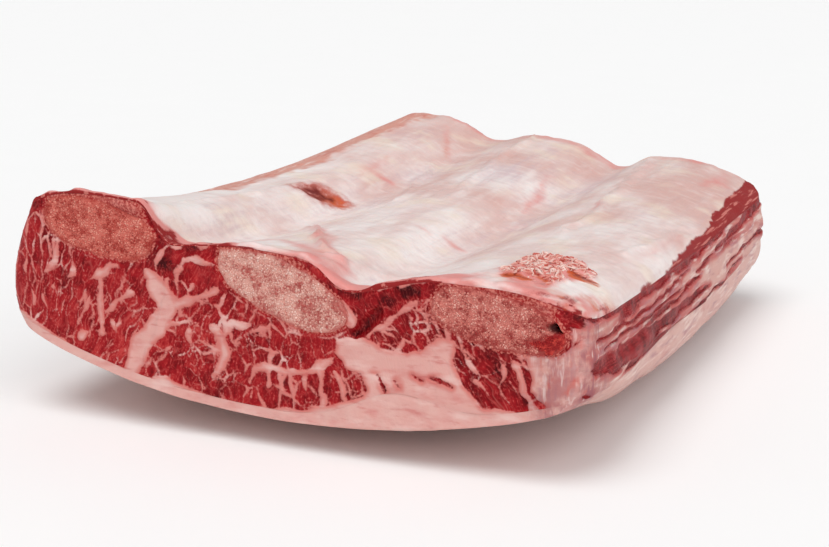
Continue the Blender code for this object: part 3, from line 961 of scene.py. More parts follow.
def fat_tone(look, thick, side, corner):
    """The colour of cut fat: pink in thin veins, cream in thick seams, greyer on the trimmed side, and
    streaked upright and bloody at the front corner of that side."""
    cut = look.streaked(look.blend(tone(210, 122, 114), tone(222, 167, 159), thick), CUT_STREAKS)
    trimmed = look.streaked(look.blend(tone(190, 96, 92), tone(212, 164, 154), thick), TRIM_STREAKS)
    upright = look.grain(1.7 * MM, 3, (1, 1, 6))
    blotches = look.grain(2.6 * MM, 3, (1, 1, 2), shift=13.0) + look.value("spot") * 0.22
    at_corner = [
        (tone(162, 92, 94), look.grain(5 * MM, 4, shift=11.0).rise(0.3, 0.58), 0.9),
        (tone(154, 94, 102), upright.rise(0.5, 0.62), 0.8),
        (tone(222, 200, 197), upright.rise(0.43, 0.34), 0.75),
        (tone(184, 58, 42), blotches.rise(0.56, 0.76), 0.9),
    ]
    for over, mask, strength in at_corner:
        trimmed = look.blend(trimmed, over, mask * corner * strength)
    return look.blend(cut, trimmed, side)


LEAN = [(0.0, tone(66, 2, 8)), (0.3, tone(122, 8, 16)), (0.6, tone(156, 20, 28)), (1.0, tone(192, 60, 58))]

look = Finish("Marbled muscle")
fat_depth, tint, on_side, marbled = (look.value(name) for name in ("fat", "tint", "side", "marbled"))
corner, bony = look.value("corner"), look.value("bony")
bundles = look.vector("fibres")
paths = look.bent(bundles, 0.7, 0.4)
flicker = look.grain(0.8 * MM, detail=3)
threads = look.borders(0.46, paths, (1.5, 1, 1))
thread_width = look.grain(0.8, 3.0, at=bundles, shift=4.0).rise(0.48, 0.75) * 0.15 * marbled
threads = (thread_width - threads).rise(-0.09, 0.11) * 0.45
fat_mask = (fat_depth + (flicker - 0.5) * 0.8).rise(-0.3, 0.24)
streaks = look.grain(0.12, detail=3, at=bundles, stretch=(5, 1, 1))
flecks = (streaks * 0.5 + flicker * 0.7).rise(0.62, 0.78) * (marbled * 0.2 + 0.3)
blotches = look.grain(3.4 * MM, detail=4)
lean_tone = tint * 0.3 + (streaks - 0.5) * 0.8 + (blotches - 0.5) * 1.2 + (flicker - 0.5) * 0.5 + 0.55
lean = look.ramp(lean_tone.clamped(), LEAN)
lean = look.blend(lean, tone(206, 96, 90), flecks.over(threads))
colour = look.blend(lean, fat_tone(look, fat_depth.rise(0.1, 2.0), on_side, corner), fat_mask)
sponge = look.blend(tone(158, 44, 42), tone(208, 120, 108), flicker.rise(0.4, 0.64))
colour = look.blend(colour, sponge, (bony + (flicker - 0.5) * 1.6).rise(0.45, 0.85) * 0.85)
relief = fat_mask * 0.25 + streaks * 0.5 + flicker * 0.25
meat.data.materials.append(look.surface(
    {"Base Color": colour,
     "Roughness": 0.42 + (look.grain(2.2 * MM, detail=3) - 0.5) * 0.3 + fat_mask * 0.06,
     "Normal": look.bump(relief, 0.35 * MM, 0.7)},
    {"Subsurface Weight": 0.05, "Subsurface Radius": (1.0, 0.25, 0.15), "Subsurface Scale": 0.8 * MM,
     "Specular IOR Level": 0.1},
))
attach(meat, "root")
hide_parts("meat")

# ---------------------------------------------------------------------------------------------------
# The rib bones. Flat oval bars of bone, full of red spongy marrow where the saw went through them.
# Each lies in its tunnel of the meat, and its ends are level with the saw cut. The sponge shows as
# fine granules, which Geometry Nodes strew over the sawn ends.

BONE_SIDES, BONE_ROWS = 150, 40
END_STEP, END_INNER = 0.45 * MM, 0.985  # between points of a sawn end, and the part of it they fill
# In the front end of the right-hand bone, in millimetres: a hole in the marrow (x, height, half width
# and half height) and the bloody rim round it (x, height and half width along it).
MARROW_HOLE, HOLE_DEPTH = (86.5, 46.6, 2.4, 1.3), 1.6
BLOODY_RIM = [(79, 42.0, 0.8), (84, 41.8, 2.2), (88.5, 43.0, 2.4), (91.5, 48.0, 1.2), (91.7, 52.0, 0.6)]
BLOODY_END = {"rib_bone_left": 0.0, "rib_bone_middle": 0.2, "rib_bone_right": 0.8}  # on the right of each
GRANULE_SIZES = {
    "Granule size": 0.34 * MM,
    "Granule spacing": 0.44 * MM,
    "Granules to a square metre": 5.0e6,
}
GRANULE_FLATNESS = 0.7
BONE_TONES = {  # ground, marrow and hard bone
    "rib_bone_left": (tone(207, 108, 95), tone(166, 52, 44), tone(230, 156, 140)),
    "rib_bone_middle": (tone(221, 163, 150), tone(180, 84, 78), tone(238, 202, 191)),
    "rib_bone_right": (tone(206, 120, 109), tone(152, 44, 42), tone(232, 172, 160)),
}


class Recipe(Graph):
    """A Geometry Nodes tree that makes small things on a surface."""

    def __init__(self, name, sizes):
        super().__init__(bpy.data.node_groups.new(name, "GeometryNodeTree"))
        self.sizes = sizes
        sockets = self.tree.interface
        sockets.new_socket(name="Surface", in_out="INPUT", socket_type="NodeSocketGeometry")
        sockets.new_socket(name="Made", in_out="OUTPUT", socket_type="NodeSocketGeometry")
        for size in sizes:
            sockets.new_socket(name=size, in_out="INPUT", socket_type="NodeSocketFloat")

    def given(self, name):
        """One of the tree's named inputs."""
        return self.node("NodeGroupInput", out=name)

    def held(self, name):
        """A number that the surface holds."""
        settings = {"data_type": "FLOAT"}
        return self.node("GeometryNodeInputNamedAttribute", settings, {"Name": name}, out="Attribute")

    def random(self, low, high, seed):
        """A random number for each point."""
        values = {"Min_001": low, "Max_001": high, "Seed": seed}
        return self.node("FunctionNodeRandomValue", {"data_type": "FLOAT"}, values, out="Value_001")

    def strewn(self, where, spacing, crowd, thing, flatness, seed):
        """The thing, set at random places where the surface's number is high, each a little different."""
        settings = {"distribute_method": "POISSON"}
        values = {"Mesh": self.given("Surface"), "Distance Min": spacing, "Density Max": crowd,
                  "Density Factor": self.held(where), "Seed": seed}
        points = self.node("GeometryNodeDistributePointsOnFaces", settings, values, out="Points")
        turn = Socket(self, self.find(points.socket.node.outputs, "Rotation"))
        values = {"Min": (-0.35, -0.35, -3.14), "Max": (0.35, 0.35, 3.14), "Seed": seed + 1}
        spin = self.node("FunctionNodeRandomValue", {"data_type": "FLOAT_VECTOR"}, values, out="Value")
        values = {"Rotation": turn, "Rotate By": spin}
        turn = self.node("FunctionNodeRotateRotation", {"rotation_space": "LOCAL"}, values, out="Rotation")
        size = self.random(0.55, 1.3, seed + 2)
        values = {"X": size, "Y": self.random(0.6, 1.2, seed + 3) * size, "Z": size * flatness}
        scale = self.node("ShaderNodeCombineXYZ", None, values, out="Vector")
        values = {"Points": points, "Instance": thing, "Rotation": turn, "Scale": scale}
        return self.node("GeometryNodeInstanceOnPoints", None, values, out="Instances")

    def finish(self, instances, material, seed):
        """Numbers the instances, makes them real and gives them their material."""
        settings = {"data_type": "FLOAT", "domain": "INSTANCE"}
        values = {"Geometry": instances, "Name": "lot", "Value": self.random(0.0, 1.0, seed)}
        named = self.node("GeometryNodeStoreNamedAttribute", settings, values, out="Geometry")
        real = self.node("GeometryNodeRealizeInstances", None, {"Geometry": named}, out="Geometry")
        values = {"Geometry": real, "Material": material}
        done = self.node("GeometryNodeSetMaterial", None, values, out="Geometry")
        self.node("NodeGroupOutput", None, {"Made": done})

    def made_on(self, surface, name):
        """A plain mesh of what the tree makes on a copy of the surface."""
        under = surface.data.copy()
        carrier = bpy.data.objects.new(name + "_carrier", under)
        bpy.context.scene.collection.objects.link(carrier)
        modifier = carrier.modifiers.new(name, "NODES")
        modifier.node_group = self.tree
        for item in self.tree.interface.items_tree:
            if item.name in self.sizes:
                modifier[item.identifier] = self.sizes[item.name]
        evaluated = carrier.evaluated_get(bpy.context.evaluated_depsgraph_get())
        mesh = bpy.data.meshes.new_from_object(evaluated)
        carrier.modifiers.remove(modifier)
        bpy.data.objects.remove(carrier)
        bpy.data.meshes.remove(under)
        made = bpy.data.objects.new(name, mesh)
        bpy.context.scene.collection.objects.link(made)
        return made


def bone_end(rib, deep, seed):
    """The sawn end of a bone, closely filled with points."""
    loop = bone_outline(rib, deep * HALF_LENGTH, BONE_SIDES)
    low, high = loop.min(axis=0), loop.max(axis=0)
    x, z = (g.ravel() for g in np.meshgrid(*(np.arange(low[i], high[i], END_STEP) for i in (0, 2))))
    random = np.random.default_rng(seed)
    x = x + random.uniform(-JITTER, JITTER, len(x)) * END_STEP
    z = z + random.uniform(-JITTER, JITTER, len(z)) * END_STEP
    y = np.full_like(x, deep * HALF_LENGTH)
    y = y - deep * corner_inset(place_across(x, y), deep)[1]
    inner = np.stack([x, y, z], axis=-1)
    shrunk = (loop - loop.mean(axis=0)) * END_INNER + loop.mean(axis=0)
    return fill([loop], inner[inside(inner[:, [0, 2]], shrunk[:, [0, 2]])], [0, 2])


def bone_finish(name, tones, granular):
    """Sawn bone, red with marrow. The granules take their tone from the lot that each one drew."""
    ground, marrow, hard = tones
    look = Finish(name)
    specks = look.grain(0.7 * MM, detail=3)
    patches = look.grain(3.6 * MM, detail=4)
    bloody = look.value("bloody")
    if granular:
        pick = look.value("lot") * 0.6 + 0.2 + (patches - 0.5) * 2.2 - bloody * 0.6
        colour = look.ramp(pick.clamped(), [(0.08, marrow), (0.45, ground), (1.0, hard)])
    else:
        soaked = (specks - (patches - 0.5) * 1.2 + bloody * 0.3).rise(0.4, 0.7)
        edge = (look.value("rim") + (specks - 0.5) * 2.4).rise(1.2, 0.0)
        colour = look.blend(ground, marrow, soaked * 0.8)
        colour = look.blend(colour, marrow, edge * 0.5)
    fresh = look.grain(1.1 * MM, 3, shift=4.0).rise(0.42, 0.66)
    blood = look.blend(tone(150, 16, 20), tone(202, 66, 56), fresh)
    colour = look.blend(colour, blood, (bloody + (specks - 0.5) * 1.4).rise(0.85, 1.35) * 0.9)
    # The hole in the marrow is painted near black-red: painted shade in the recess.
    colour = look.blend(colour, tone(70, 6, 8), look.value("hole"))
    return look.surface(
        {"Base Color": colour, "Roughness": 0.5 + (specks - 0.5) * 0.4,
         "Normal": look.bump(specks, 0.3 * MM, 0.6)},
        {"Subsurface Weight": 0.08, "Subsurface Radius": (1.0, 0.5, 0.4), "Subsurface Scale": 0.8 * MM,
         "Specular IOR Level": 0.2},
    )


for number, (name, rib) in enumerate(RIBS.items()):
    bone = joined(name.replace("rib_bone", "rib"), [
        bone_end(rib, -1, 10 + number),
        bone_end(rib, 1, 20 + number),
        tunnel(rib, BONE_ROWS, BONE_SIDES, 0.0),
    ])
    points, normals = coordinates(bone.data)
    rim = away_from_bones(points, [rib])
    sawn = np.abs(normals[:, 1]) > 0.5
    sponge, _ = cells(points[:, 0] / (1.5 * MM), points[:, 2] / (1.3 * MM), 1.0, 7 + number)
    lift = 0.3 + 0.3 * noise(points, 6, 41) + 0.15 * noise(points, 2.2, 42)
    lift = lift - 0.15 * ease((sponge - 0.12) / 0.3) + 0.1 * noise(points, 0.9, 43)
    lift = cut_lumps(points) + EDGE_LIFT + (lift - EDGE_LIFT) * ease(rim / 1.6)
    x, y, z = points.T
    hole_x, hole_z, half_x, half_z = MARROW_HOLE
    reach = np.hypot((x / MM - hole_x) / half_x, (z / MM - hole_z) / half_z)
    hole = ease((1.5 - reach) / 0.8) * (y < 0)
    lift = lift - HOLE_DEPTH * hole
    to_right = (x - mix(rib["centre"], along(y))) / mix(rib["half_width"], along(y))
    bloody = BLOODY_END[name] * ease((to_right - 0.2) / 0.9) + ease((0.9 - rim) / 0.9) * 0.3
    smear = strand(x / MM, z / MM, BLOODY_RIM) + 1.0 * noise(points, 2, 44)
    bloody = bloody + 1.4 * soft(smear, 1.2) * (y < 0)
    crowded = ease((rim + 0.7 * noise(points, 1.3, 45) - 0.2) / 0.8) * sawn * (1 - hole)
    move(bone.data, points + straightened(normals) * (lift * sawn * MM)[:, None])
    keep(bone.data, rim=rim, hole=hole, bloody=bloody, crowded=crowded)
    label = name.replace("_", " ")
    bone.data.materials.append(bone_finish(label, BONE_TONES[name], granular=False))
    strew = Recipe("Granules on the " + label, GRANULE_SIZES)
    values = {"Radius": strew.given("Granule size"), "Segments": 6, "Rings": 3}
    ball = strew.node("GeometryNodeMeshUVSphere", None, values, out="Mesh")
    spacing, crowd = strew.given("Granule spacing"), strew.given("Granules to a square metre")
    strewn = strew.strewn("crowded", spacing, crowd, ball, GRANULE_FLATNESS, 50 + number)
    strew.finish(strewn, bone_finish(label + " granules", BONE_TONES[name], granular=True), 60 + number)
    granules = strew.made_on(bone, name.replace("rib_bone", "granules"))
    granules.data.shade_smooth()
    for piece in (bone, granules):
        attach(piece, "root")
    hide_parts(name)

# ---------------------------------------------------------------------------------------------------
# The membrane. A tough white skin over the ribs and the strips of meat between them. It is wrinkled
# along the ribs, stained where blood shows through, slit once and torn near the front right corner.

MEMBRANE_COLUMNS, MEMBRANE_ROWS, LIP_ROWS = 236, 316, 4
SIDE_SHOULDER, CUT_SHOULDER, SHOULDER_DROP = 5.0 * MM, 2.6 * MM, 1.9 * MM


def membrane_under(x, y):
    return top_height(x, y) - MEMBRANE


def skin_top(x, y):
    """The membrane's outer surface, rolled over at its edges."""
    share = along(y)
    to_side = np.minimum(x - mix(LEFT_EDGE, share), mix(RIGHT_EDGE, share) - x)
    to_cut = HALF_LENGTH - np.abs(y)
    drop = np.zeros_like(x)
    for reach, radius in ((to_side, SIDE_SHOULDER), (to_cut, CUT_SHOULDER)):
        past = np.clip(1 - reach / radius, 0, 1)
        drop = np.maximum(drop, SHOULDER_DROP * (1 - np.sqrt(1 - 0.98 * past**2)))
    return top_height(x, y) - drop


def thin_layer(name, shown, columns, rows, levels, under, top):
    """A layer that is sawn off in front and behind, with its outer face shown at level 0 or 1."""
    across, deep = (g.ravel() for g in np.meshgrid(spread(columns), spread(rows)))
    outer = (place(across, deep, shown, under, top), grid_faces(rows, columns))
    inner = hidden_face(1 - shown, columns, columns, rows, under, top)
    across, level = (g.ravel() for g in np.meshgrid(spread(columns), np.linspace(0, 1, levels)))
    ends = [(place(across, end, level, under, top), grid_faces(levels, columns)) for end in (-1, 1)]
    sides = [side_face(end, rows, levels, under, top) for end in (-1, 1)]
    return joined(name, [outer, inner, *ends, *sides])


membrane = thin_layer(
    "membrane_skin", 1, MEMBRANE_COLUMNS, MEMBRANE_ROWS, LIP_ROWS, membrane_under, skin_top,
)

# Raised cords of tissue: x and distance from the front cut in millimetres, then half width.
CORDS = [
    [(-5, 250, 1.5), (-4, 219, 2.0), (-4, 202, 1.8), (-1, 179, 2.0), (1, 150, 1.4), (4, 125, 0.8)],
    [(51, 242, 1.5), (54, 214, 2.2), (54, 196, 2.0), (56, 175, 2.4), (58, 146, 2.0), (60, 126, 2.0),
     (57, 96, 1.0)],
    [(-26, 70, 0.8), (-12, 50, 1.2), (-5, 36, 1.2), (4, 24, 0.9)],
    [(-18, 59, 0.8), (-4, 38, 1.2), (6, 22, 1.3), (15, 16, 0.8)],
    [(10, 15, 0.8), (14, 17, 1.2), (19, 25, 1.2), (27, 36, 0.8)],
    [(84, 80, 0.6), (88, 96, 1.4), (88, 112, 1.4), (88, 128, 0.6)],
    [(-52, 30, 0.5), (-49, 60, 0.9), (-50, 90, 0.5)],
    [(-30, 190, 0.6), (-24, 160, 1.2), (-14, 120, 0.8)],
]
GASH = [(-46.5, 99.5, 0.8), (-43, 103, 3.2), (-39, 107, 4.0), (-34.5, 111.5, 3.0)]
GASH_BLOOD = [(-46.5, 99.5, 0.6), (-43.5, 103, 3.0), (-40, 106.5, 3.8), (-37, 110, 1.8)]
GASH_ORANGE = [(-39, 106, 2.4), (-36, 108.5, 4.4), (-33.5, 110.5, 4.2), (-32, 112, 2.0)]
# The skin's corner in front on the right, where flesh and blood show through what is left of it.
FRAYED = [(79, -2, 1.0), (87, 5, 4.0), (93, 13, 6.0), (97, 30, 3.5)]
# How far back from the front cut flesh is bared between the ribs, and how red it is: x, distance, redness.
BARED = [(-52, 0, 0.2), (-46, 3, 0.3), (-42, 7, 0.7), (-36, 13, 1.0), (-28, 12, 1.0), (-20, 7, 0.8),
         (-12, 0, 0.4), (12, 0, 0.0), (20, 7, 0.0), (30, 12, 0.1), (38, 12, 0.6), (46, 7, 0.8),
         (52, 0, 0.2)]
ORANGE_LINE = [(-37, 225, 1.4), (-33, 214, 2.2), (-30, 206, 1.0)]
TEAR = [(62, 21), (60, 34), (61, 48), (66, 55), (73, 55), (79.5, 50), (84, 42), (86, 32.5), (82.5, 23),
        (80.5, 10.5), (76, 7), (70, 6.5), (65, 12)]
TEAR_SLITS = [
    [(64.5, 16.5, 1.0), (68, 16, 2.6), (72.5, 13.5, 1.8)],
    [(78, 35, 1.0), (81.5, 33, 3.0), (86, 33.5, 2.2)],
    [(72.5, 22, 0.5), (76, 17, 0.9), (79, 13, 0.7)],
]
# Lines where blood shows through: the same, and then how strongly.
PINK_LINES = [
    ([(26, 146, 0.5), (24.8, 158, 2.0), (23.7, 168, 2.6), (22.5, 180, 1.6), (21, 196, 0.3)], 1.25),
    ([(-40, 138, 0.6), (-40.7, 150, 2.0), (-40.4, 160, 2.2), (-41.3, 172, 0.8)], 0.9),
    ([(-44, 240, 0.8), (-37, 224.5, 1.5), (-32.5, 215.7, 1.4), (-27, 204, 0.6)], 1.0),
    ([(19, 84, 0.5), (23, 83, 1.2), (27, 84, 0.5)], 1.6),
    ([(57, 137, 0.6), (56, 149, 0.8)], 1.5),
    ([(-35.5, 152, 0.5), (-31.5, 152, 1.0)], 1.5),
    ([(9, 82, 0.5), (15, 80, 0.6)], 1.1),
    ([(-26, 72, 0.4), (-12, 52, 0.7), (-5, 37, 0.8), (4, 25, 0.5)], 1.0),
    ([(-14, 59, 0.3), (0, 38, 0.6), (9, 22, 0.7), (18, 14, 0.4)], 0.9),
    ([(-26, 34, 1.0), (-16, 28, 2.5), (-4, 22, 4.0), (8, 14, 4.5), (16, 12, 3.0)], 1.0),
    ([(-24, 66, 0.8), (-12, 48, 2.0), (0, 32, 3.0), (12, 20, 3.0)], 0.6),
    ([(52, 4, 1.0), (60, 14, 3.0), (64, 30, 1.5)], 0.8),
    ([(84, 60, 1.0), (90, 90, 1.8), (90, 130, 1.2)], 0.6),
    ([(80, 208, 1.0), (84, 225, 4.0), (82, 245, 2.0)], 1.0),
    ([(-20, 245, 1.0), (10, 250, 3.0), (50, 246, 3.0), (70, 250, 1.0)], 0.8),
    ([(10, 196, 1.0), (14, 170, 3.0), (20, 140, 2.0)], 0.35),
    ([(34, 214, 2.0), (36, 180, 3.0)], 0.35),
    ([(-62, 120, 2.0), (-58, 180, 4.0), (-54, 236, 3.0)], 0.4),
]
# Stains: x, distance from the front cut, half length, half width, turn in degrees, strength.
GREY_STAINS = [
    (38, 200, 30, 9, 85, 0.9), (-48, 222, 24, 10, 85, 0.7), (10, 222, 26, 8, 88, 0.8),
    (62, 230, 20, 9, 85, 0.7), (-24, 180, 34, 7, 80, 0.6), (-30, 110, 22, 9, 60, 0.4),
    (34, 130, 28, 7, 75, 0.5), (-2, 100, 24, 8, 85, 0.3), (76, 130, 36, 6, 80, 0.4),
    (44, 90, 22, 6, 70, 0.4), (6, 176, 20, 13, 80, 1.1), (-44, 40, 10, 7, 20, 0.5),
]
# How far up the membrane's lip the flesh shows at the cuts: x, and the share of the lip.
RED_LIP = [(-98, 0.95), (-68, 0.95), (-58, 0.75), (-50, 0.6), (-46, 1.1), (-30, 1.1), (-19, 0.2), (8, 0.0),
           (20, 0.4), (28, 0.95), (45, 0.95), (50, 0.5), (56, -0.4), (62, -0.9), (82, -0.9), (86, 0.2),
           (91, 0.2), (94, -0.9)]
# How far the membrane's edge stands back from the left and the right side: at distance from the front
# cut, x of the edge on the left, and the gap on the right.
LEFT_BORDER = [(0, -112), (40, -100), (56, -74), (73, -63), (100, -63), (122, -60), (152, -61), (180, -60),
               (209, -58), (256, -54)]
RIGHT_BORDER = [(0, 0), (60, 1.4), (120, 3.2), (146, 4.4), (171, 6.0), (200, 7.4), (241, 10.0), (256, 10.5)]


def stains(x, y, marks):
    """How strongly each place is stained."""
    total = np.zeros(len(x))
    for mark_x, mark_y, half_length, half_width, turn, strength in marks:
        c, s = math.cos(math.radians(turn)), math.sin(math.radians(turn))
        u = ((x - mark_x) * c + (y - mark_y) * s) / half_length
        v = ((y - mark_y) * c - (x - mark_x) * s) / half_width
        total += strength * np.exp(-(u**2 + v**2))
    return total


points, normals = coordinates(membrane.data)
x, y, z = points.T
share = along(y)
from_front = (y + HALF_LENGTH) / MM
from_right = (mix(RIGHT_EDGE, share) - x) / MM
# The same places, moved about a little, so that what is drawn on the skin wanders.
wx = x / MM + 1.6 * noise(points, 9, 51) + 0.3 * noise(points, 4, 52)
wy = from_front + 1.6 * noise(points, 9, 53) + 0.3 * noise(points, 4, 54)
upper = ease((normals[:, 2] - 0.05) / 0.4)
ridge_here = (top_height(x, y) - TOP_LEVEL - CLIMB * np.maximum(CLIMB_FROM - x, 0)) / (8 * MM)
valley = ease(0.75 - ridge_here)
cord = in_strands(wx, wy, CORDS, 1.6)
gash = strand(wx, wy, GASH)
tear = soft(patch_depth(wx, wy, TEAR) + 2.0 * noise(points, 6, 52), 3.0)
slits = np.clip(in_strands(wx, wy, TEAR_SLITS, 0.6), 0, 1)
open_ground = np.clip(slits + in_strands(wx, wy + 3.5, TEAR_SLITS, 1.0, 1.0), 0, 1)
wrinkle = noise(points, (2.8, 40, 20), 55) * (0.5 + 0.5 * noise(points, 30, 56))
slanted = np.stack([x * 0.5 + y * 0.87, y * 0.5 - x * 0.87, z], axis=-1)
crease = noise(slanted, (44, 3.0, 40), 57) * (0.3 + 0.7 * valley)
front_fold = noise(slanted, (26, 3.6, 30), 70) * ease((26 - from_front) / 20)
shreds = 1 - 2 * np.abs(noise(points, (4.6, 3.2, 4), 58))
shreds = shreds + 0.6 * (1 - 2 * np.abs(noise(points, (2.0, 1.6, 2), 59)))
lift = 0.6 * noise(points, (24, 40, 30), 60) + 0.34 * wrinkle + 0.3 * crease + 0.55 * front_fold
lift = lift + 0.16 * rough(points, 7, 61) + 1.1 * cord - 1.0 * soft(gash, 2.0)
lift = lift * (1 - 0.3 * tear) + tear * (0.3 + 0.7 * shreds) * (1 - open_ground)
lift = lift - 0.4 * open_ground + 0.3 * slits
edge_x = ease((np.abs(place_across(x, y)) - 0.9) / 0.09)
edge_y = ease((np.abs(y) / HALF_LENGTH - 0.97) / 0.03)
lip_lift = edge_y * (0.4 * noise(points, 7, 62) + 0.25 * noise(points, 2.6, 63) - 0.15)
lip_lift = lip_lift + edge_x * (0.4 * noise(points, 9, 64) + 0.15 * noise(points, 3, 65))
above = ease((z - membrane_under(x, y)) / (0.6 * MEMBRANE))

ragged = 2.2 * noise(points, (9, 14, 9), 66) + 1.2 * noise(points, 3, 67)
left_border = read_off(from_front, LEFT_BORDER)
rind = soft(left_border - x / MM + 1.8 * ragged, 5.0) * (x < 0) * ease((from_front - 15) / 60)
right_border = read_off(from_front, RIGHT_BORDER) + 0.4 * ragged
raw = soft(right_border - from_right, 0.9) * ease((from_front - 30) / 30)
on_lip = np.abs(normals[:, 1]) > 0.3
turned_down = ease((0.75 - normals[:, 2]) / 0.5) * on_lip
red_up_to = read_off(x / MM, RED_LIP) + 0.09 * ragged
lip_rim = 0.9 * on_lip * ease((red_up_to - normals[:, 2]) / 0.25)
lift = lift - 0.5 * raw - 0.3 * rind
edge_lift = cut_lumps(points) + EDGE_LIFT + 0.12 * edge_x
edge_lift = edge_lift * ease((np.hypot(normals[:, 0], normals[:, 1]) - 0.4) / 0.25)
moved = points + straightened(normals) * (edge_lift * MM)[:, None]
move(membrane.data, moved + normals * ((lift * upper + lip_lift) * above * MM)[:, None])

frayed = soft(strand(wx, wy, FRAYED), 4.0)
flesh_patches = ease((noise(points, (1.6, 6, 3), 91) + 0.2) / 0.7)
blood_patches = ease((noise(points, (3, 4, 3), 92) + 0.1) / 0.5)
bared_to, redness = (read_off(x / MM, BARED, column) for column in (1, 2))
bared = soft(bared_to * (1 + 0.35 * noise(points, 5, 93)) - from_front, 2.0) * ease(bared_to / 3)
bared_red = bared * ease((noise(points, (9, 2.2, 3), 94) + redness - 0.5) / 0.5)
lines = sum(strength * in_strands(wx, wy, [line], 4.2) for line, strength in PINK_LINES)
near_front = np.exp(-(((from_front - 1) / 9) ** 2)) * (1.0 + 0.9 * noise(points, 11, 81))
near_back = np.exp(-(((LENGTH / MM - from_front) / 6) ** 2)) * (0.6 + 0.6 * noise(points, 14, 87))
pink = 0.8 * lines + 1.3 * tear + 0.9 * soft(gash, 5.0) + 0.85 * near_front + near_back
pink = pink + turned_down * (0.5 + 0.8 * noise(points, 4, 84)) + 1.2 * bared
pink = pink + frayed * (0.6 + 0.7 * noise(points, 3, 95))
uneven = 0.85 + 0.5 * noise(points, 1.8, 82)
slit_cores = np.clip(in_strands(wx, wy - 0.8, TEAR_SLITS, 0.8, -1.0), 0, 1)
blood = 0.95 * uneven * soft(strand(wx, wy, GASH_BLOOD), 3.0) + 0.12 * slits + 0.45 * slit_cores
blood = blood + 0.4 * tear * ease((0.1 - shreds) / 0.4)
orange = soft(strand(wx, wy, GASH_ORANGE), 3.4) + 1.1 * slits + 0.5 * soft(strand(wx, wy, ORANGE_LINE), 3.0)
orange = orange + 0.8 * frayed * blood_patches
on_crest = ease((ridge_here - 0.75) / 0.5)
rose = 0.24 + 0.6 * share + 0.12 * place_across(x, y) + 0.3 * noise(points, 36, 80) - 0.15 * on_crest
fleshy = np.maximum(0.55 * frayed * flesh_patches, 0.7 * bared_red)
grey = stains(wx, wy, GREY_STAINS) + 0.3 * valley - 0.2 * on_crest
bruise = soft(gash + 2.2, 6.0) + 0.6 * slits
keep(membrane.data, pink=pink, rose=rose, grey=grey, rind=rind, tear=tear, blood=np.clip(blood, 0, 1),
     raw=np.maximum(np.maximum(raw, lip_rim), fleshy), orange=orange * uneven, bruise=bruise * uneven,
     shredded=ease((tear - 0.5) / 0.5) * (1 - open_ground))

SKIN_WHITE, SKIN_ROSE, SKIN_PINK = tone(240, 228, 225), tone(216, 174, 166), tone(222, 138, 132)
SKIN_LILAC, SKIN_CREAM, SKIN_BLOOD = tone(202, 172, 178), tone(236, 216, 198), tone(108, 14, 8)
SKIN_RAW, SKIN_RIND, SKIN_ORANGE = tone(142, 6, 12), tone(216, 148, 132), tone(206, 92, 44)
SKIN_BRUISE = tone(186, 84, 68)
TORN_TONES = [(0.05, tone(190, 76, 62)), (0.3, tone(226, 152, 140)), (0.8, tone(243, 212, 202))]


def skin_ground(look, mottle, lengthwise, slantwise, broad):
    """The membrane's colours: white, rosier towards the back, with cream, lilac and painted highlight in
    it.
    """
    rose = look.value("rose")
    colour = look.blend(SKIN_WHITE, SKIN_ROSE, (rose + (broad - 0.5) * 1.6).rise(0.05, 1.05))
    colour = look.blend(colour, SKIN_CREAM, look.grain(18 * MM, 2, shift=5.0).rise(0.5, 0.7) * 0.6)
    veil = look.value("grey") * 0.6 + (lengthwise - 0.5) * 1.2 + (slantwise - 0.5) * 0.8
    colour = look.blend(colour, SKIN_LILAC, veil.rise(0.1, 0.85) * 0.65)
    # Near-white patches, weaker towards the back: painted highlights.
    light = look.grain(6 * MM, 4, (1, 3, 1), turn=(0, 0, 0.3), shift=8.0).rise(0.52, 0.75)
    colour = look.blend(colour, tone(246, 239, 236), light * (0.75 - rose * 0.6).clamped())
    strands = look.grain(3.2 * MM, 3, (6, 1, 1), turn=(0, 0, 0.55), shift=15.0)
    colour = look.blend(colour, tone(250, 244, 240), strands.rise(0.52, 0.68) * 0.16)
    colour = look.blend(colour, tone(206, 172, 168), strands.rise(0.48, 0.34) * 0.16)
    flush = look.value("pink") * (0.55 + mottle * 0.8) + (slantwise - 0.5) * 0.3 + (broad - 0.55) * 0.8
    return look.blend(colour, SKIN_PINK, flush.rise(0.05, 1.2) * 0.95)


def skin_marks(look, colour, mottle, fine, lengthwise):
    """What shows on the membrane: the rind on the left, bare muscle, the bruise and the blood."""
    patchy = (lengthwise + (mottle - 0.5) * 0.9).rise(0.5, 0.72)
    rind = look.blend(SKIN_RIND, tone(198, 104, 92), patchy * 0.6)
    pale = look.grain(2 * MM, 3, (1, 6, 1), shift=9.0).rise(0.52, 0.7)
    rind = look.blend(rind, tone(240, 216, 208), pale * 0.6)
    colour = look.blend(colour, rind, (look.value("rind") * (0.7 + mottle * 0.6)).rise(0.1, 0.9) * 0.95)
    stripes = look.grain(1.7 * MM, 3, (1, 16, 1), turn=(0, 0, 0.02)).rise(0.56, 0.63) * 0.7
    muscle = look.blend(SKIN_RAW, tone(214, 128, 118), stripes)
    marks = [("raw", muscle, 0.5, (0.2, 0.7), 0.96), ("bruise", SKIN_BRUISE, 0.4, (0.08, 0.8), 0.9),
             ("orange", SKIN_ORANGE, 0.5, (0.1, 1.1), 0.9), ("blood", SKIN_BLOOD, 0.5, (0.15, 0.95), 0.95)]
    for name, over, raggedness, limits, strength in marks:
        mask = (look.value(name) + (fine - 0.5) * raggedness).rise(*limits) * strength
        colour = look.blend(colour, over, mask)
    return colour


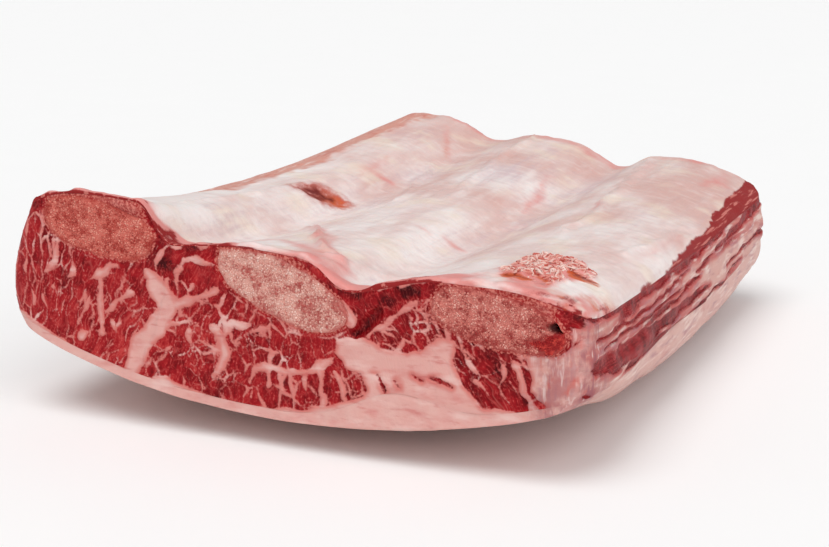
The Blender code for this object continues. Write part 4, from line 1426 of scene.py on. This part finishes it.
def skin_finish(name, torn):
    """Wet membrane, and the same torn up into shreds, which are pinker."""
    look = Finish(name)
    mottle = look.grain(5 * MM, detail=4)
    fine = look.grain(0.7 * MM, detail=3)
    lengthwise = look.grain(2.6 * MM, 4, (1, 10, 1), turn=(0, 0, 0.12))
    slantwise = look.grain(2.4 * MM, 4, (9, 1, 1), turn=(0, 0, 0.7))
    if torn:
        pick = look.value("lot") * 0.8 + 0.05 + (mottle - 0.5) + (1 - look.value("tear")) * 0.5
        colour = look.ramp(pick.clamped(), TORN_TONES)
    else:
        broad = look.grain(14 * MM, 3, (1, 2.5, 1), turn=(0, 0, 0.2), shift=2.0)
        colour = skin_ground(look, mottle, lengthwise, slantwise, broad)
        colour = skin_marks(look, colour, mottle, fine, lengthwise)
    relief = lengthwise * 1.0 + slantwise * 0.7 + fine * 0.25
    return look.surface(
        {"Base Color": colour, "Roughness": 0.42 + (mottle - 0.5) * 0.3 + look.value("raw") * 0.4,
         "Normal": look.bump(relief, 0.6 * MM, 0.7)},
        {"Subsurface Weight": 0.1, "Subsurface Radius": (1.0, 0.5, 0.4), "Subsurface Scale": 1.5 * MM,
         "Specular IOR Level": 0.25},
    )


SHRED_SIZES = {
    "Shred length": 1.2 * MM,
    "Shred spacing": 0.62 * MM,
    "Shreds to a square metre": 2.4e6,
}
SHRED_ASPECT, SHRED_THICKNESS, SHRED_CURL = 0.24, 0.3, 0.6 * MM

membrane.data.materials.append(skin_finish("Rib membrane", torn=False))
strew = Recipe("Torn shreds", SHRED_SIZES)
values = {"Radius": strew.given("Shred length"), "Subdivisions": 2}
ball = strew.node("GeometryNodeMeshIcoSphere", None, values, out="Mesh")
values = {"Geometry": ball, "Scale": (1.0, SHRED_ASPECT, 1.0)}
flat_ball = strew.node("GeometryNodeTransform", None, values, out="Geometry")
spacing, crowd = strew.given("Shred spacing"), strew.given("Shreds to a square metre")
strewn = strew.strewn("shredded", spacing, crowd, flat_ball, SHRED_THICKNESS, 90)
strew.finish(strewn, skin_finish("Torn membrane", torn=True), 93)
shred_piece = strew.made_on(membrane, "torn_shreds")
points, _ = coordinates(shred_piece.data)
curl = np.stack([noise(points, 2, seed) for seed in (94, 95, 96)], axis=-1)
move(shred_piece.data, points + curl * SHRED_CURL)
shred_piece.data.shade_smooth()
for piece in (membrane, shred_piece):
    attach(piece, "root")
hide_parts("membrane")

# ---------------------------------------------------------------------------------------------------
# The fat cap. Hard fat under the meat, trimmed with a knife into flat lumps, and thickest under the
# last gap between the ribs and on the right side. The slab lies on it.

CAP_COLUMNS, CAP_ROWS, CAP_LEVELS = 260, 190, 12


def cap_top(x, y):
    return bottom_height(x, y) + cap_thickness(x, y)


cap = thin_layer("fat_cap_trimmed", 0, CAP_COLUMNS, CAP_ROWS, CAP_LEVELS, bottom_height, cap_top)
points, normals = coordinates(cap.data)
x, y, z = points.T
outer = np.where(normals[:, 2] > 0.75, 0.0, 1.0)
sawn = ease((np.abs(normals[:, 1]) - 0.4) / 0.25)
trimmed = 0.8 * noise(points, (22, 30, 20), 71) + 0.4 * rough(points, 8, 72)
trimmed = trimmed - 0.6 * ease(noise(points, (16, 40, 16), 73) * 3)
trimmed = trimmed * ease(z / (2 * MM))
under_meat = cap_top(x, y) - z
lift = mix((trimmed, cut_lumps(points) + EDGE_LIFT), np.maximum(sawn, ease(1 - under_meat / EDGE_WIDTH)))
moved = points + straightened(normals) * (lift * outer * MM)[:, None]
moved[:, 2] = np.maximum(moved[:, 2], 0.0)
move(cap.data, moved)
side = ease((place_across(x, y) - 0.9) / 0.06) * ease((y + HALF_LENGTH) / (8 * MM))
corner, sawn_corner = near_corner(points)
# under says how far a face points down: the fat there is darkened as painted shade, and lean streaks show
# there.
keep(cap.data, side=np.maximum(side, sawn_corner), corner=corner, under=ease((-normals[:, 2] - 0.4) / 0.4))

look = Finish("Hard fat")
mottle = look.grain(6 * MM, detail=4)
fine = look.grain(0.9 * MM, detail=3)
streaky = look.grain(4 * MM, detail=4, stretch=(1, 5, 1))
colour = fat_tone(look, 1.0, look.value("side"), look.value("corner"))
colour = look.blend(colour, tone(228, 194, 184), mottle.rise(0.4, 0.7) * 0.35)
# Fat facing down is darker: painted shade under the slab's rounded underside.
colour = look.blend(colour, tone(196, 150, 140), look.value("under") * 0.8)
seen_lean = (streaky + (mottle - 0.5) * 0.6).rise(0.66, 0.78)
lean_there = look.value("side") * 0.5 + look.value("under") * 0.4
colour = look.blend(colour, tone(160, 62, 58), seen_lean * lean_there)
cap.data.materials.append(look.surface(
    {"Base Color": colour, "Roughness": 0.45 + (mottle - 0.5) * 0.3,
     "Normal": look.bump(mottle + fine * 0.3, 0.8 * MM, 0.5)},
    {"Subsurface Weight": 0.12, "Subsurface Radius": (1.0, 0.5, 0.4), "Subsurface Scale": 1.5 * MM,
     "Specular IOR Level": 0.2},
))
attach(cap, "root")
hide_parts("fat_cap")

# ---------------------------------------------------------------------------------------------------
# The floor, the light and the camera. A pale studio floor under broad soft light, seen from a little
# above the slab and to the right of its front cut.

FLOOR_SIZE, FLOOR_DROP = 24, 0.2 * MM
bpy.ops.mesh.primitive_plane_add(size=FLOOR_SIZE, location=(0, 0, -FLOOR_DROP))
floor = bpy.context.object
floor.name = "floor"
look = Finish("Pale floor")
paper = look.grain(60 * MM, detail=2)
floor.data.materials.append(look.surface(
    {"Base Color": look.blend(tone(250, 250, 250), tone(252, 252, 252), paper)}, {"Roughness": 0.9},
))


def sun(name, towards, strength, angle):
    """Soft light from one side, as from a broad lamp far away. towards points to the lamp."""
    data = bpy.data.lights.new(name, "SUN")
    data.energy, data.angle = strength, math.radians(angle)
    made = bpy.data.objects.new(name, data)
    made.rotation_euler = Vector(towards).to_track_quat("Z", "Y").to_euler()
    bpy.context.scene.collection.objects.link(made)


sun("key light", (-0.1, -0.35, 1.0), 1.42, 40)
sun("fill light", (0.8, -0.5, 0.6), 1.1, 60)
ROOM_LIGHT = 0.4
world = bpy.data.worlds.new("Studio")
world.use_nodes = True
room = world.node_tree.nodes["Background"].inputs
room["Color"].default_value = (1, 1, 1, 1)
room["Strength"].default_value = ROOM_LIGHT
bpy.context.scene.world = world

PICTURE_WIDTH, SENSOR_WIDTH = 829, 36  # in pixels and in millimetres
FOCAL_LENGTH_IN_PIXELS = 1400
CAMERA_PLACE, NEAREST_SEEN = (0.197, -0.481, 0.145), 0.01
LOOKS_DOWN, LOOKS_LEFT = 12.7, 23.4  # degrees
camera_data = bpy.data.cameras.new("Camera")
camera = bpy.data.objects.new("Camera", camera_data)
bpy.context.scene.collection.objects.link(camera)
camera_data.sensor_width = SENSOR_WIDTH
camera_data.lens = FOCAL_LENGTH_IN_PIXELS / PICTURE_WIDTH * SENSOR_WIDTH
camera_data.clip_start = NEAREST_SEEN
camera.location = CAMERA_PLACE
camera.rotation_euler = (math.radians(90 - LOOKS_DOWN), 0, math.radians(LOOKS_LEFT))
bpy.context.scene.camera = camera
bpy.context.scene.view_settings.view_transform = "Standard"
